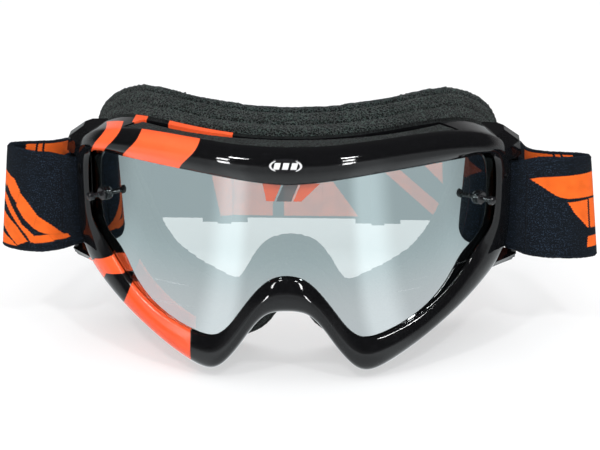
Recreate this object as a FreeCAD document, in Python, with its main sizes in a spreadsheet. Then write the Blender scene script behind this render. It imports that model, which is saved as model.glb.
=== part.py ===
"""Motorcycle goggles: a curved moulded frame with a snap-in lens, layered face foam, vent foam,
tear-off posts and a 40 mm elastic strap with two rings and two slide adjusters.

Frame: +X across the face, -Y the way the lens looks, +Y towards the wearer, +Z up. "Right" is
the +X side, which is on the right when seen from in front. Shapes are laid out about the lens
cylinder's axis (x = 0, y = 0), then moved by shift_y and shift_z, so that the origin is the
centre of the whole goggles' box.
"""
import FreeCAD, Part
import Sketcher
import math
import os
from FreeCAD import Vector, Placement, Rotation

os.makedirs("parts", exist_ok=True)
doc = FreeCAD.newDocument("goggles")

# ---------------------------------------------------------------- driving dimensions
sheet = doc.addObject("Spreadsheet::Sheet", "dims")
DIMS = [
    # lens, its groove, and the frame's section
    ("lens_rad", 100.0), ("lens_thick", 1.0), ("lens_tuck", 3.0), ("groove_gap", 0.15),
    ("groove_deep", 3.4), ("brow_bulge", 4.4), ("side_bulge", 1.5), ("low_bulge", 4.0),
    ("flange_thick", 2.4), ("wall_top", 4.0), ("wall_low", 3.0),
    # face foam and top vent
    ("foam_base_t", 8.0), ("foam_mid_t", 7.0), ("foam_lining_t", 4.0), ("foam_gap", 0.05),
    ("vent_r_in", 84.6), ("vent_r_out", 95.4), ("vent_floor", 33.4), ("vent_half_deg", 43.0),
    ("vent_foam_t", 1.6),
    # tear-off posts, washers, side rim holes and badge
    ("post_deg", 48.0), ("post_z", 6.8), ("post_head_r", 1.7), ("post_head_len", 3.0),
    ("post_neck_r", 0.95), ("post_neck_len", 3.8), ("post_flange_r", 2.7),
    ("post_flange_t", 0.8), ("post_stem_r", 1.4), ("post_hole_r", 1.45),
    ("post_stem_end", 97.0), ("washer_r", 3.2), ("washer_t", 1.0),
    ("peg_deg", 56.4), ("peg_z", 13.4), ("peg_r", 2.3),
    ("badge_w", 13.0), ("badge_ht", 5.2), ("badge_t", 1.6), ("badge_z", 31.6),
    ("badge_tilt", 14.0),
    # strap bars and the ears that hold them
    ("bar_x", 88.5), ("bar_y", -43.0), ("bar_rad", 1.6), ("slot_z_lo", -24.6),
    ("slot_z_hi", 18.0), ("cap_top", 26.6), ("arm_bottom", -25.7),
    # strap, rings and adjusters
    ("strap_z", -3.5), ("strap_w", 40.0), ("strap_t", 1.6), ("strap_tilt", -10.0),
    ("rear_y", 30.0), ("ring_x", 66.0), ("ring_wire", 2.2), ("ring_in_len", 41.0),
    ("ring_bar_off", 3.4), ("adj_x", 34.0), ("adj_len", 45.4), ("adj_wide", 20.0),
    ("adj_bar", 3.4), ("adj_rail", 2.4), ("adj_plate_t", 1.5), ("tail_x", 30.0),
    # from the lens axis to the centre of the whole
    ("shift_y", 34.330), ("shift_z", 7.122),
]
for line, (alias, value) in enumerate(DIMS, start=1):
    sheet.set(f"A{line}", alias)
    sheet.set(f"B{line}", str(value))
    sheet.setAlias(f"B{line}", alias)
doc.recompute()


def dim(alias):
    return float(getattr(sheet, alias))


SHIFT = Placement(Vector(0, dim("shift_y"), dim("shift_z")), Rotation())
LENS_R = dim("lens_rad")
SIDES = (("right", 1), ("left", -1))    # name, sign of x

# ---------------------------------------------------------------- front-view outlines
# Each is the right half as (x, z), from top centre round to bottom centre. Points with the same
# place in the six lists belong to one station.
# Edge of the opening
OPENING = [
    (0, 22.3), (9, 22.9), (18, 23.8), (28, 24.9), (38, 25.7), (48, 26.1), (57, 26.2),
    (65, 25.9), (71.5, 25.5), (76, 24.8), (79.3, 22.5), (80.3, 17), (80.5, 9), (80.4, 1),
    (79.6, -5.5), (77.3, -8.8), (74.5, -11.6), (71.2, -15.3), (67.5, -20), (63.5, -24.6),
    (58, -29.6), (51.6, -34.1), (45, -37.4), (39, -39.7), (34, -41), (29.8, -41.2),
    (26.3, -39.6), (22.7, -36), (19.4, -31), (16.1, -26.1), (12.8, -21.6), (9.3, -17.8),
    (5.5, -15.2), (0, -14.1)]
# Outer edge of the band round the lens
BAND = [
    (0, 35.7), (9, 35.8), (18.3, 36.1), (28.5, 36.8), (39, 37.4), (49.5, 37.4), (59, 36.7),
    (67.5, 35.1), (75, 32.5), (80.6, 28.8), (85.0, 24.4), (86.8, 18), (87, 10), (87, 1),
    (87, -8), (86.2, -16.5), (84.0, -22), (80.2, -26.2), (75.3, -30.2), (69.5, -34.6),
    (62.7, -39.2), (55.4, -43.9), (48.2, -48.5), (41.4, -52.4), (35.6, -55.2), (30.5, -56.3),
    (26.1, -54.2), (22.3, -49.8), (18.8, -45.2), (15.3, -39.6), (12, -34.8), (8.5, -31.3),
    (5, -30), (0, -29.7)]
# Outer and inner edges of the flange behind the band
FLANGE_OUT = [
    (0, 35.4), (9, 35.4), (18, 35.6), (28, 35.9), (38, 36.2), (47.5, 36.4), (56.5, 35.8),
    (65, 34.3), (72, 31.2), (77, 26.9), (80.3, 21.6), (82, 14.5), (82.2, 6), (82.2, -3),
    (81.6, -12), (80.3, -20), (78, -27), (74.5, -33), (70, -37.6), (65, -41.9),
    (58.5, -45.9), (51.5, -49.0), (44.5, -51.9), (38.5, -54.1), (33, -55.4), (28, -55.1),
    (23.5, -53.0), (19.8, -49), (16.5, -43.6), (13.4, -38.5), (10.5, -34), (7.5, -31),
    (4.5, -29.6), (0, -29.3)]
FLANGE_IN = [
    (0, 28.5), (8.5, 28.7), (17, 29.2), (26.5, 30), (36, 30.5), (45, 30.5), (53, 29.8),
    (60, 27.8), (65, 24.5), (68.3, 20.5), (70, 15.5), (70.7, 10), (70.8, 4), (70.5, -2.5),
    (69.7, -9), (68.2, -15.5), (65.8, -21), (62.8, -26), (59, -30.5), (54.8, -34.5),
    (50, -38), (45, -40.8), (40, -43), (35.5, -44.3), (31.5, -44.5), (28, -43.6),
    (25.2, -41.4), (23, -38.3), (21, -34.6), (18.8, -30.8), (16, -27), (12.5, -23.6),
    (7.5, -21), (0, -20)]
# Outer and inner edges of the face foam's rear
FOAM_OUT = [
    (0, 42.0), (9, 42.1), (18, 42.2), (28, 42.8), (38, 43.4), (47.5, 43.8), (56, 43.4),
    (63, 42.0), (70, 38.2), (75.5, 33), (79.5, 27), (82, 19.5), (82.5, 9), (82, -2),
    (81, -12), (79.5, -21), (77, -28.5), (73, -35.5), (68.5, -41), (63, -45.8), (56.5, -50),
    (50, -53.2), (43.5, -55.6), (37.5, -57.2), (32, -58), (27, -57.8), (22, -56.6),
    (18, -55), (14.5, -53), (11.3, -50.8), (8.6, -47.8), (6.2, -44), (3.6, -39.5),
    (0, -36.5)]
FOAM_IN = [
    (0, 28.0), (8.5, 28.2), (17, 28.7), (26.5, 29.4), (36, 29.9), (45, 29.9), (53, 29.2),
    (60, 27.2), (65, 24.2), (68, 20.2), (69.2, 15.2), (68.2, 10), (66.2, 4.6), (63.6, -1),
    (61, -6), (58.8, -10.5), (56.5, -14.5), (54, -18), (51, -21), (47.5, -23.5),
    (43.5, -25.3), (39, -26.7), (34.5, -27.8), (30.5, -28.9), (27, -30), (24, -30.8),
    (21.3, -30.2), (19.3, -27.4), (17.6, -24), (16, -20.6), (14, -17.2), (11.2, -13.8),
    (7, -10.8), (0, -9)]


# ---------------------------------------------------------------- geometry helpers
def full(half):
    """Both halves as one closed list, from top centre down the right side and up the left."""
    right = [Vector(x, 0, z) for x, z in half]
    return right + [Vector(-x, 0, z) for x, z in reversed(half[1:-1])]


def ease(t):
    """A smooth step from 0 to 1."""
    t = max(0.0, min(1.0, t))
    return t * t * (3 - 2 * t)


def blend(start, end, t):
    return start * (1 - t) + end * t


def unit(vector):
    return vector / vector.Length


def move_y(point, distance):
    return point + Vector(0, distance, 0)


def on_lens(point, radius):
    """The point carried along Y to the front of a cylinder about the lens axis."""
    limit = radius - 0.5    # stays short of the cylinder's own edge
    x = max(-limit, min(limit, point.x))
    return Vector(point.x, -math.sqrt(radius * radius - x * x), point.z)


def flange_y(point):
    """Y of the flange's rear face, which follows the face and comes forward at the nose."""
    across = -80 + 52 * (abs(point.x) / 82.0) ** 2.1
    below = ease((-10 - point.z) / 25.0)
    return across - 6.0 * math.exp(-((point.x / 22.0) ** 2)) * below


def on_flange(point):
    return Vector(point.x, flange_y(point), point.z)


def spline_wire(points):
    """A smooth closed wire through the points, in four edges."""
    curve = Part.BSplineCurve()
    curve.interpolate(Points=points, PeriodicFlag=True)
    first, last = curve.FirstParameter, curve.LastParameter
    cuts = [first + (last - first) * k / 4 for k in range(5)]
    return Part.Wire([Part.Edge(curve, cuts[k], cuts[k + 1]) for k in range(4)])


def polygon_wire(points):
    return Part.makePolygon(points + [points[0]])


def outward(solid):
    """The solid, turned the right way out."""
    if solid.Volume < 0:
        solid.reverse()
    return solid


def periodic_torus(rows):
    """A closed solid from a grid of poles that is periodic both ways (cubic)."""
    nu, nv = len(rows), len(rows[0])
    surface = Part.BSplineSurface()
    surface.buildFromPolesMultsKnots(
        rows, [1] * (nu + 1), [1] * (nv + 1),
        [float(i) for i in range(nu + 1)], [float(i) for i in range(nv + 1)],
        True, True, 3, 3)
    return outward(Part.Solid(Part.Shell([surface.toShape()])))


def sector(r_in, r_out, deg_from, deg_to, z_from, z_to):
    """A slice of a tube about the lens axis, between two angles from straight ahead."""
    height = z_to - z_from
    base = Vector(0, 0, z_from)
    wedge = Part.makeCylinder(r_out, height, base, Vector(0, 0, 1), deg_to - deg_from)
    piece = wedge.cut(Part.makeCylinder(r_in, height, base))
    piece.rotate(Vector(0, 0, 0), Vector(0, 0, 1), -90 + deg_from)
    return piece


def radial(deg, z, distance):
    """Placement whose +Z looks out of the lens at that angle from straight ahead,
    starting that distance from the lens axis."""
    angle = math.radians(deg)
    out = Vector(math.sin(angle), -math.cos(angle), 0)
    return Placement(out * distance + Vector(0, 0, z), Rotation(Vector(0, 0, 1), out))


# ---------------------------------------------------------------- document helpers
FINAL = []


def deliver(obj, label, place=SHIFT):
    """Names a finished piece and gives it its place in the goggles' frame."""
    obj.Label = label
    obj.Placement = place.multiply(obj.Placement)
    FINAL.append(obj)


def feature(name, shape):
    obj = doc.addObject("Part::Feature", name)
    obj.Shape = shape
    return obj


def cylinder(name, radius, height, place):
    """A cylinder whose radius and height are expressions."""
    obj = doc.addObject("Part::Cylinder", name)
    obj.setExpression("Radius", radius)
    obj.setExpression("Height", height)
    obj.Placement = place
    return obj


def cut(name, base, *tools):
    """Cuts the tools from the base in turn; the last result bears the name."""
    for k, tool in enumerate(tools):
        is_last = k == len(tools) - 1
        result = doc.addObject("Part::Cut", name if is_last else f"{name}_cut{k}")
        result.Base, result.Tool = base, tool
        base = result
    return base


def sketch_on(body, name, role="XY_Plane"):
    sketch = body.newObject("Sketcher::SketchObject", name)
    plane = [f for f in body.Origin.OriginFeatures if f.Role == role][0]
    sketch.AttachmentSupport = [(plane, "")]
    sketch.MapMode = "FlatFace"
    return sketch


def add_polygon(sketch, points):
    for k, (x, y) in enumerate(points):
        x_next, y_next = points[(k + 1) % len(points)]
        sketch.addGeometry(Part.LineSegment(Vector(x, y, 0), Vector(x_next, y_next, 0)), False)


def add_rect(sketch, wide, tall, mid=0.0):
    """A rectangle about the sketch's vertical axis, its centre at height mid."""
    x = wide / 2
    low, high = mid - tall / 2, mid + tall / 2
    add_polygon(sketch, [(-x, low), (x, low), (x, high), (-x, high)])


def pad_on(body, name, sketch, length, reverse=False):
    """A pad whose length is an expression."""
    pad = body.newObject("PartDesign::Pad", name)
    pad.Profile = sketch
    pad.setExpression("Length", length)
    pad.Reversed = reverse
    return pad


# ---------------------------------------------------------------- lens and its groove
LENS_CYL_Z, LENS_CYL_LEN = -70, 120     # blank cylinders, longer than the lens is tall
PLAN_Y_FROM, PLAN_Y_TO = -112, -40      # the outline prism crosses the front of the cylinders
POST_HOLE_LEN = 16.0


def opening_prism(grow):
    """The opening's outline, grown towards the band, as a prism along Y."""
    points = [p + unit(q - p) * grow for p, q in zip(full(OPENING), full(BAND))]
    wire = spline_wire([move_y(p, PLAN_Y_FROM) for p in points])
    return Part.Face(wire).extrude(Vector(0, PLAN_Y_TO - PLAN_Y_FROM, 0))


def curved_sheet(prefix, name, r_out, r_in, grow):
    """The part of a tube about the lens axis that lies within the grown opening."""
    base = Placement(Vector(0, 0, LENS_CYL_Z), Rotation())
    outer = cylinder(f"{prefix}_outer_cyl", r_out, str(LENS_CYL_LEN), base)
    inner = cylinder(f"{prefix}_inner_cyl", r_in, str(LENS_CYL_LEN), base)
    sheet_part = doc.addObject("Part::Common", name)
    sheet_part.Base = cut(f"{prefix}_shell", outer, inner)
    sheet_part.Tool = feature(f"{prefix}_plan", opening_prism(grow))
    return sheet_part


lens_raw = curved_sheet("lens", "lens_raw", "dims.lens_rad", "dims.lens_rad - dims.lens_thick",
                        dim("lens_tuck"))
groove = curved_sheet("groove", "groove", "dims.lens_rad + dims.groove_gap",
                      "dims.lens_rad - dims.lens_thick - dims.groove_gap", dim("groove_deep"))
post_holes = [
    cylinder(f"post_hole_{side}", "dims.post_hole_r", str(POST_HOLE_LEN),
             radial(sx * dim("post_deg"), dim("post_z"), LENS_R - POST_HOLE_LEN / 2))
    for side, sx in SIDES]
deliver(cut("lens", lens_raw, *post_holes), "lens")

# ---------------------------------------------------------------- frame ring
# The section changes along the outline. Stations count from top centre on either side: the
# brow gives way to the side, and the side to the low part, at (first station, run of stations).
BROW_END = (8.6, 2.2)
SIDE_END = (15.3, 1.9)
BAND_OFFSETS = (-2.0, 0.4, -6.5)    # band edge's radius over the lens's: brow, side, low

# Poles over the front of the rim: (mm out from the opening, plus share of the band's width;
# share of the bulge, plus mm, above the lens radius)
RIM_FRONT = [
    (0, 0, 0, 0.2), (-0.05, 0, 0, 0.9), (0.45, 0, 0.45, 0.2), (0, 0.16, 0.62, 0.2),
    (0, 0.34, 0.96, 0.2), (0, 0.62, 1.02, 0.2), (0, 0.86, 0.66, 0.2)]
# Poles of the lip behind the lens: (mm out, plus share of the lip's width; mm inside the radius)
RIM_BACK = [(0, 0.72, 3.7), (0.5, 0, 3.4), (-0.05, 0, 2.4), (0, 0, 1.1)]
LIP_MAX, LIP_SHARE = 4.6, 0.55      # widest lip, and its share of the band's width

# The side rim overhangs the strap slot, so the wall behind it is drawn in to these places
SIDE_FRONT_XY = (84.0, -47.6)
SIDE_REAR_XY = (83.2, -38.0)
SIDE_INNER_X = 80.6


def section_weights(i, count):
    """0 to 1 weights (brow, side, low) of a station, the same on both halves."""
    k = min(i, count - i)
    past_brow = ease((k - BROW_END[0]) / BROW_END[1])
    side = past_brow * (1 - ease((k - SIDE_END[0]) / SIDE_END[1]))
    brow = 1 - past_brow
    return brow, side, max(0.0, 1 - side - brow)


def mix(weights, values):
    return sum(w * v for w, v in zip(weights, values))


def ring_section(opening, band, flange_out, flange_in, weights):
    """One closed row of poles: over the rim, back to the flange, round it and forward again."""
    brow, side, _ = weights
    width = (band - opening).Length
    out = unit(band - opening)
    inward = unit(flange_in - flange_out)
    sign = 1 if flange_out.x > 0 else -1
    thick = dim("flange_thick")

    # front of the rim and the band's edge
    bulge = mix(weights, [dim("brow_bulge"), dim("side_bulge"), dim("low_bulge")])
    band_r = LENS_R + mix(weights, BAND_OFFSETS)
    poles = [on_lens(opening + out * (mm + share * width), LENS_R + bulge_share * bulge + proud)
             for mm, share, bulge_share, proud in RIM_FRONT]
    band_edge = on_lens(band, band_r)
    poles.append(on_lens(opening + out * (0.99 * width),
                         blend(LENS_R + 0.1 * bulge, band_r, 0.35)))
    poles.append(band_edge)

    # outer wall, back to the flange
    outer_edge = on_flange(flange_out)
    wall_front = blend(band_edge, outer_edge, 0.45)
    wall_rear = blend(band_edge, outer_edge, 0.85)
    wall_rear.y = min(wall_rear.y, outer_edge.y - 4.5)
    if side > 0:
        x, y = SIDE_FRONT_XY
        wall_front = blend(wall_front, Vector(sign * x, y, wall_front.z), side)
        x, y = SIDE_REAR_XY
        wall_rear = blend(wall_rear, Vector(sign * x, y, wall_rear.z), side)
    poles += [wall_front, wall_rear]

    # flange: outer edge, rear face, inner edge
    inner_edge = on_flange(flange_in)
    poles += [
        move_y(outer_edge, -2.6),
        move_y(outer_edge, -1.0),
        move_y(outer_edge, -0.1) + inward * 0.25,
        on_flange(flange_out + inward * 2.0),
        on_flange(blend(flange_out, flange_in, 0.45)),
        on_flange(blend(flange_out, flange_in, 0.9)),
        inner_edge - inward * 0.15,
        move_y(inner_edge, -1.0),
        move_y(inner_edge, -thick) - inward * 0.4,
    ]

    # flange's front face, then the inner wall forward to the lip
    wall = flange_out + inward * blend(dim("wall_low"), dim("wall_top"), brow)
    foot = wall + inward * 2.2
    poles.append(Vector(foot.x, min(flange_y(foot), outer_edge.y) - thick - 0.3, foot.z))
    poles.append(move_y(wall, outer_edge.y - thick - 2.6))
    lip = min(LIP_MAX, LIP_SHARE * width)
    wall_top = opening + out * min(lip + 1.6, width - 2.6)
    if side > 0:
        wall_top = blend(wall_top, Vector(sign * SIDE_INNER_X, 0, wall_top.z), side)
    middle = blend(wall_top, wall, 0.5)
    middle_y = blend(on_lens(wall_top, LENS_R - 4.5).y, outer_edge.y - 5, 0.5)
    poles.append(Vector(middle.x, middle_y, middle.z))
    poles.append(on_lens(wall_top, LENS_R - 5.2))
    poles += [on_lens(opening + out * (mm + share * lip), LENS_R - inside)
              for mm, share, inside in RIM_BACK]
    return poles


def frame_ring():
    stations = list(zip(full(OPENING), full(BAND), full(FLANGE_OUT), full(FLANGE_IN)))
    return periodic_torus([ring_section(*points, section_weights(i, len(stations)))
                           for i, points in enumerate(stations)])


# ---------------------------------------------------------------- ears and strap bars
# Plan sections (x, y) on the right side, with the z of each, bottom to top
SLOT_LOW, SLOT_HIGH = dim("slot_z_lo"), dim("slot_z_hi")
BAR_SINK = 2.0      # how far a strap bar runs into the ear at each end
EAR_CAP = [
    (SLOT_HIGH, [
        (81.0, -59.2), (83.6, -57.6), (87.0, -52.6), (91.0, -46.0),
        (91.2, -40.5), (88.5, -37.6), (82.2, -37.0), (80.8, -44.0)]),
    (SLOT_HIGH + 5.8, [
        (79.2, -62.6), (82.0, -60.6), (86.4, -54.2), (90.0, -46.5),
        (90.2, -39.5), (87.5, -36.0), (81.0, -34.5), (79.5, -44.0)]),
    (dim("cap_top") + 2.0, [
        (72.5, -66.6), (76.6, -61.8), (80.8, -54.6), (83.8, -47.4),
        (83.8, -41.2), (81.4, -37.7), (75.5, -37.2), (72.0, -44.0)]),
]
EAR_ARM = [
    (dim("arm_bottom") - 1.5, [
        (74.5, -59.0), (79.6, -55.0), (84.6, -49.4), (88.6, -45.2),
        (88.6, -41.2), (86.2, -39.2), (79.0, -39.2), (74.5, -44.6)]),
    (SLOT_LOW, [
        (76.5, -59.0), (81.6, -55.6), (86.8, -49.6), (90.4, -45.0),
        (90.4, -40.8), (88.0, -38.5), (80.5, -38.5), (76.5, -44.0)]),
]


def plan_loft(name, levels, sx):
    """A ruled loft through plan polygons, mirrored to the left when sx is -1."""
    wires = []
    for z, plan in levels:
        points = [Vector(sx * x, y, z) for x, y in plan]
        wires.append(polygon_wire(points if sx > 0 else points[::-1]))
    return feature(name, Part.makeLoft(wires, True, True))


def ear(side, sx):
    """The cap over the strap slot, the arm under it and the upright bar between them."""
    foot = Vector(sx * dim("bar_x"), dim("bar_y"), SLOT_LOW - BAR_SINK)
    return [
        plan_loft(f"ear_cap_{side}", EAR_CAP, sx),
        plan_loft(f"ear_arm_{side}", EAR_ARM, sx),
        cylinder(f"strap_bar_{side}", "dims.bar_rad",
                 f"dims.slot_z_hi - dims.slot_z_lo + {2 * BAR_SINK}",
                 Placement(foot, Rotation())),
    ]


# ---------------------------------------------------------------- openings in the frame
VENT_HALF = dim("vent_half_deg")
VENT_TOP = 60.0                 # the recess is open upwards
WINDOW_STARTS = [-40.6, -30.1, -19.6, -9.3, 0.7, 11.0, 21.5, 32.0]     # degrees
WINDOW_DEG = 8.6
WINDOW_EDGE = 1.6               # wall left in front of and behind the windows
WINDOW_Z = (26.0, 40.0)
# Lower vents on the right side: (x from, x to, z of the plug's bottom at each)
LOW_VENTS = [(34.5, 40.5, -54.5, -53.0), (42.8, 49.0, -51.4, -49.1)]
LOW_VENT_BACK = 7.5             # behind the lens surface
LOW_VENT_DEPTH = 9.0
LOW_VENT_Z, LOW_VENT_TALL = -66.0, 24.0
RIM_HOLE_START, RIM_HOLE_LEN = 0.75, 8.0    # the blind hole's floor above the lens radius
BADGE_OUT = 5.15                # badge datum in front of the lens
BADGE_SINK = 1.2                # badge's underside below its datum
BADGE_GAP, BADGE_FLOOR_GAP = 0.06, 0.05
BADGE_POCKET_TOP = 6.0
BADGE_PLACE = Placement(Vector(0, -LENS_R - BADGE_OUT, dim("badge_z")),
                        Rotation(Vector(1, 0, 0), 90 - dim("badge_tilt")))


def top_windows():
    r_in, r_out = dim("vent_r_in") + WINDOW_EDGE, dim("vent_r_out") - WINDOW_EDGE
    return Part.makeCompound([sector(r_in, r_out, start, start + WINDOW_DEG, *WINDOW_Z)
                              for start in WINDOW_STARTS])


def low_vent_y(x_from, x_to):
    """Front of a lower vent, set back from the lens surface at its middle."""
    middle = (x_from + x_to) / 2
    return -math.sqrt(LENS_R * LENS_R - middle * middle) + LOW_VENT_BACK


def low_windows():
    """Openings in the underside of each lobe, between the band and the flange."""
    boxes = []
    for _, sx in SIDES:
        for x_from, x_to, _, _ in LOW_VENTS:
            corner = Vector(min(sx * x_from, sx * x_to), low_vent_y(x_from, x_to), LOW_VENT_Z)
            boxes.append(Part.makeBox(x_to - x_from, LOW_VENT_DEPTH, LOW_VENT_TALL, corner))
    return Part.makeCompound(boxes)


def badge_pocket():
    floor = -BADGE_SINK - BADGE_FLOOR_GAP
    ellipse = Part.Ellipse(Vector(0, 0, floor), dim("badge_w") / 2 + BADGE_GAP,
                           dim("badge_ht") / 2 + BADGE_GAP)
    face = Part.Face(Part.Wire([ellipse.toShape()]))
    pocket = feature("badge_pocket", face.extrude(Vector(0, 0, BADGE_POCKET_TOP - floor)))
    pocket.Placement = BADGE_PLACE
    return pocket


def build_frame():
    fused = doc.addObject("Part::MultiFuse", "frame_fused")
    fused.Shapes = [feature("frame_ring", frame_ring())] + ear("right", 1) + ear("left", -1)
    recess = feature("vent_recess", sector(dim("vent_r_in"), dim("vent_r_out"), -VENT_HALF,
                                           VENT_HALF, dim("vent_floor"), VENT_TOP))
    windows = feature("vent_windows", top_windows())
    low = feature("low_vent_windows", low_windows())
    rim_holes = [
        cylinder(f"rim_hole_{side}", "dims.peg_r", str(RIM_HOLE_LEN),
                 radial(sx * dim("peg_deg"), dim("peg_z"), LENS_R + RIM_HOLE_START))
        for side, sx in SIDES]
    frame = cut("frame", fused, groove, recess, windows, low, *rim_holes, badge_pocket())
    deliver(frame, "frame")


build_frame()

# ---------------------------------------------------------------- brow badge
BADGE_BARS_X = (-3.2, 0.0, 3.2)
BADGE_BAR_HALF_W, BADGE_BAR_HALF_HT = 1.1, 1.15
BADGE_BAR_LEAN = 0.3
BADGE_BAR_RISE = 0.35


def badge():
    """An oval medallion with three raised slanted bars."""
    body = doc.addObject("PartDesign::Body", "badge")
    oval = sketch_on(body, "badge_outline")
    oval.addGeometry(Part.Ellipse(Vector(0, 0, 0), dim("badge_w") / 2, dim("badge_ht") / 2),
                     False)
    pad_on(body, "badge_pad", oval, "dims.badge_t")
    bars = sketch_on(body, "badge_bars")
    w, y, lean = BADGE_BAR_HALF_W, BADGE_BAR_HALF_HT, BADGE_BAR_LEAN
    for x in BADGE_BARS_X:
        add_polygon(bars, [(x - w - lean, -y), (x + w - lean, -y),
                           (x + w + lean, y), (x - w + lean, y)])
    pad_on(body, "badge_bar_pad", bars, f"dims.badge_t + {BADGE_BAR_RISE}")
    body.Placement = Placement(BADGE_PLACE.multVec(Vector(0, 0, -BADGE_SINK)),
                               BADGE_PLACE.Rotation)
    deliver(body, "brow_badge")


badge()

# ---------------------------------------------------------------- tear-off posts and washers
POST_SEAT_GAP = 0.03            # flange off the lens, and washer's bore off the stem
WASHER_GAP = 0.12               # washer off the back of the lens
FLANGE_BEVEL = (0.5, 0.3)       # in, down
HEAD_UNDERCUT = 0.75            # length of the cone from the neck to the head
HEAD_TIP = [(0, 1.5), (0.45, 0.9), (1.0, 0.55)]     # (mm inside the head's radius, mm below top)
HEAD_TIP_MIDDLE = 0.45          # the tip's centre below top


def post(side, sx):
    """A turned post: stem through the lens, flange, neck and head. Z = 0 is the lens surface."""
    body = doc.addObject("PartDesign::Body", f"post_{side}")
    profile = sketch_on(body, f"post_profile_{side}", "XZ_Plane")
    stem_r, flange_r = dim("post_stem_r"), dim("post_flange_r")
    neck_r, head_r = dim("post_neck_r"), dim("post_head_r")
    stem_z = dim("post_stem_end") - LENS_R
    neck_z = POST_SEAT_GAP + dim("post_flange_t")
    head_z = neck_z + dim("post_neck_len")
    top_z = head_z + dim("post_head_len")
    bevel_in, bevel_down = FLANGE_BEVEL
    add_polygon(profile, [
        (0, stem_z), (stem_r, stem_z), (stem_r, POST_SEAT_GAP), (flange_r, POST_SEAT_GAP),
        (flange_r, neck_z - bevel_down), (flange_r - bevel_in, neck_z), (neck_r, neck_z),
        (neck_r, head_z - HEAD_UNDERCUT), (head_r, head_z),
        *[(head_r - inside, top_z - down) for inside, down in HEAD_TIP],
        (0, top_z - HEAD_TIP_MIDDLE)])
    turn = body.newObject("PartDesign::Revolution", f"post_turn_{side}")
    turn.Profile = profile
    turn.ReferenceAxis = (profile, ["V_Axis"])
    turn.Angle = 360
    body.Placement = radial(sx * dim("post_deg"), dim("post_z"), LENS_R)
    deliver(body, f"tear_off_post_{side}")


def washer(side, sx):
    """The flat ring behind the lens, round the post's stem."""
    body = doc.addObject("PartDesign::Body", f"washer_{side}")
    profile = sketch_on(body, f"washer_profile_{side}")
    circles = [(dim("washer_r"), "dims.washer_r"),
               (dim("post_stem_r") + POST_SEAT_GAP, f"dims.post_stem_r + {POST_SEAT_GAP}")]
    for radius, _ in circles:
        profile.addGeometry(Part.Circle(Vector(0, 0, 0), Vector(0, 0, 1), radius), False)
    for k, (radius, expression) in enumerate(circles):
        profile.addConstraint(Sketcher.Constraint("Radius", k, radius))
        profile.setExpression(f"Constraints[{k}]", expression)
    pad_on(body, f"washer_pad_{side}", profile, "dims.washer_t")
    distance = LENS_R - dim("lens_thick") - dim("washer_t") - WASHER_GAP
    body.Placement = radial(sx * dim("post_deg"), dim("post_z"), distance)
    deliver(body, f"post_washer_{side}")


for side, sx in SIDES:
    post(side, sx)
    washer(side, sx)

# ---------------------------------------------------------------- face foam
FOAM_START = 0.6                # the foam's front behind the flange's rear face
FOAM_INNER_INSET = 0.6          # its inner edge outside the flange's
FOAM_MID_Z = dim("foam_base_t")
FOAM_LINING_Z = FOAM_MID_Z + dim("foam_mid_t")
FOAM_TOTAL = FOAM_LINING_Z + dim("foam_lining_t")


def foam_outer(depth):
    """The foam's outer loop at a depth behind the flange."""
    t = depth / FOAM_TOTAL
    loop = []
    for flange, rear in zip(full(FLANGE_OUT), full(FOAM_OUT)):
        p = blend(flange, rear, ease(t) * 0.55 + t * 0.45)
        loop.append(Vector(p.x, flange_y(flange) + depth, p.z))
    return loop


def foam_inner(depth):
    """The foam's inner loop at a depth behind the flange."""
    t = depth / FOAM_TOTAL
    loop = []
    for outer, inner, rear in zip(full(FLANGE_OUT), full(FLANGE_IN), full(FOAM_IN)):
        front = inner - unit(inner - outer) * FOAM_INNER_INSET
        p = blend(front, rear, ease(t) * 0.4 + t * 0.6)
        y = max(flange_y(inner), blend(flange_y(inner), flange_y(outer), 0.25))
        loop.append(Vector(p.x, y + depth, p.z))
    return loop


def foam_layer(name, front, rear):
    """A closed ring solid between two depths, from four ruled walls."""
    loops = [foam_outer(front), foam_outer(rear), foam_inner(rear), foam_inner(front)]
    wires = [spline_wire(loop) for loop in loops]
    faces = []
    for k in range(4):
        faces += Part.makeRuledSurface(wires[k], wires[(k + 1) % 4]).Faces
    shell = Part.makeShell(faces)
    shell.sewShape()
    if shell.ShapeType != "Shell":      # sewing may hand back a compound
        shell = Part.Shell(shell.Faces)
    deliver(feature(f"foam_{name}", outward(Part.Solid(shell))), f"face_foam_{name}")


foam_gap = dim("foam_gap")
foam_layer("base", FOAM_START, FOAM_MID_Z - foam_gap)
foam_layer("mid", FOAM_MID_Z + foam_gap, FOAM_LINING_Z - foam_gap)
foam_layer("lining", FOAM_LINING_Z + foam_gap, FOAM_TOTAL)

# ---------------------------------------------------------------- vent foam
TOP_FOAM_GAP, TOP_FOAM_GAP_DEG, TOP_FOAM_LIFT = 0.15, 0.2, 0.05
PLUG_T = 2.1
PLUG_GAP_X, PLUG_GAP_Y = 0.12, 0.1


def vent_foam_top():
    half = VENT_HALF - TOP_FOAM_GAP_DEG
    z = dim("vent_floor") + TOP_FOAM_LIFT
    strip = sector(dim("vent_r_in") + TOP_FOAM_GAP, dim("vent_r_out") - TOP_FOAM_GAP,
                   -half, half, z, z + dim("vent_foam_t"))
    deliver(feature("vent_top", strip), "vent_foam_top")


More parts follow.
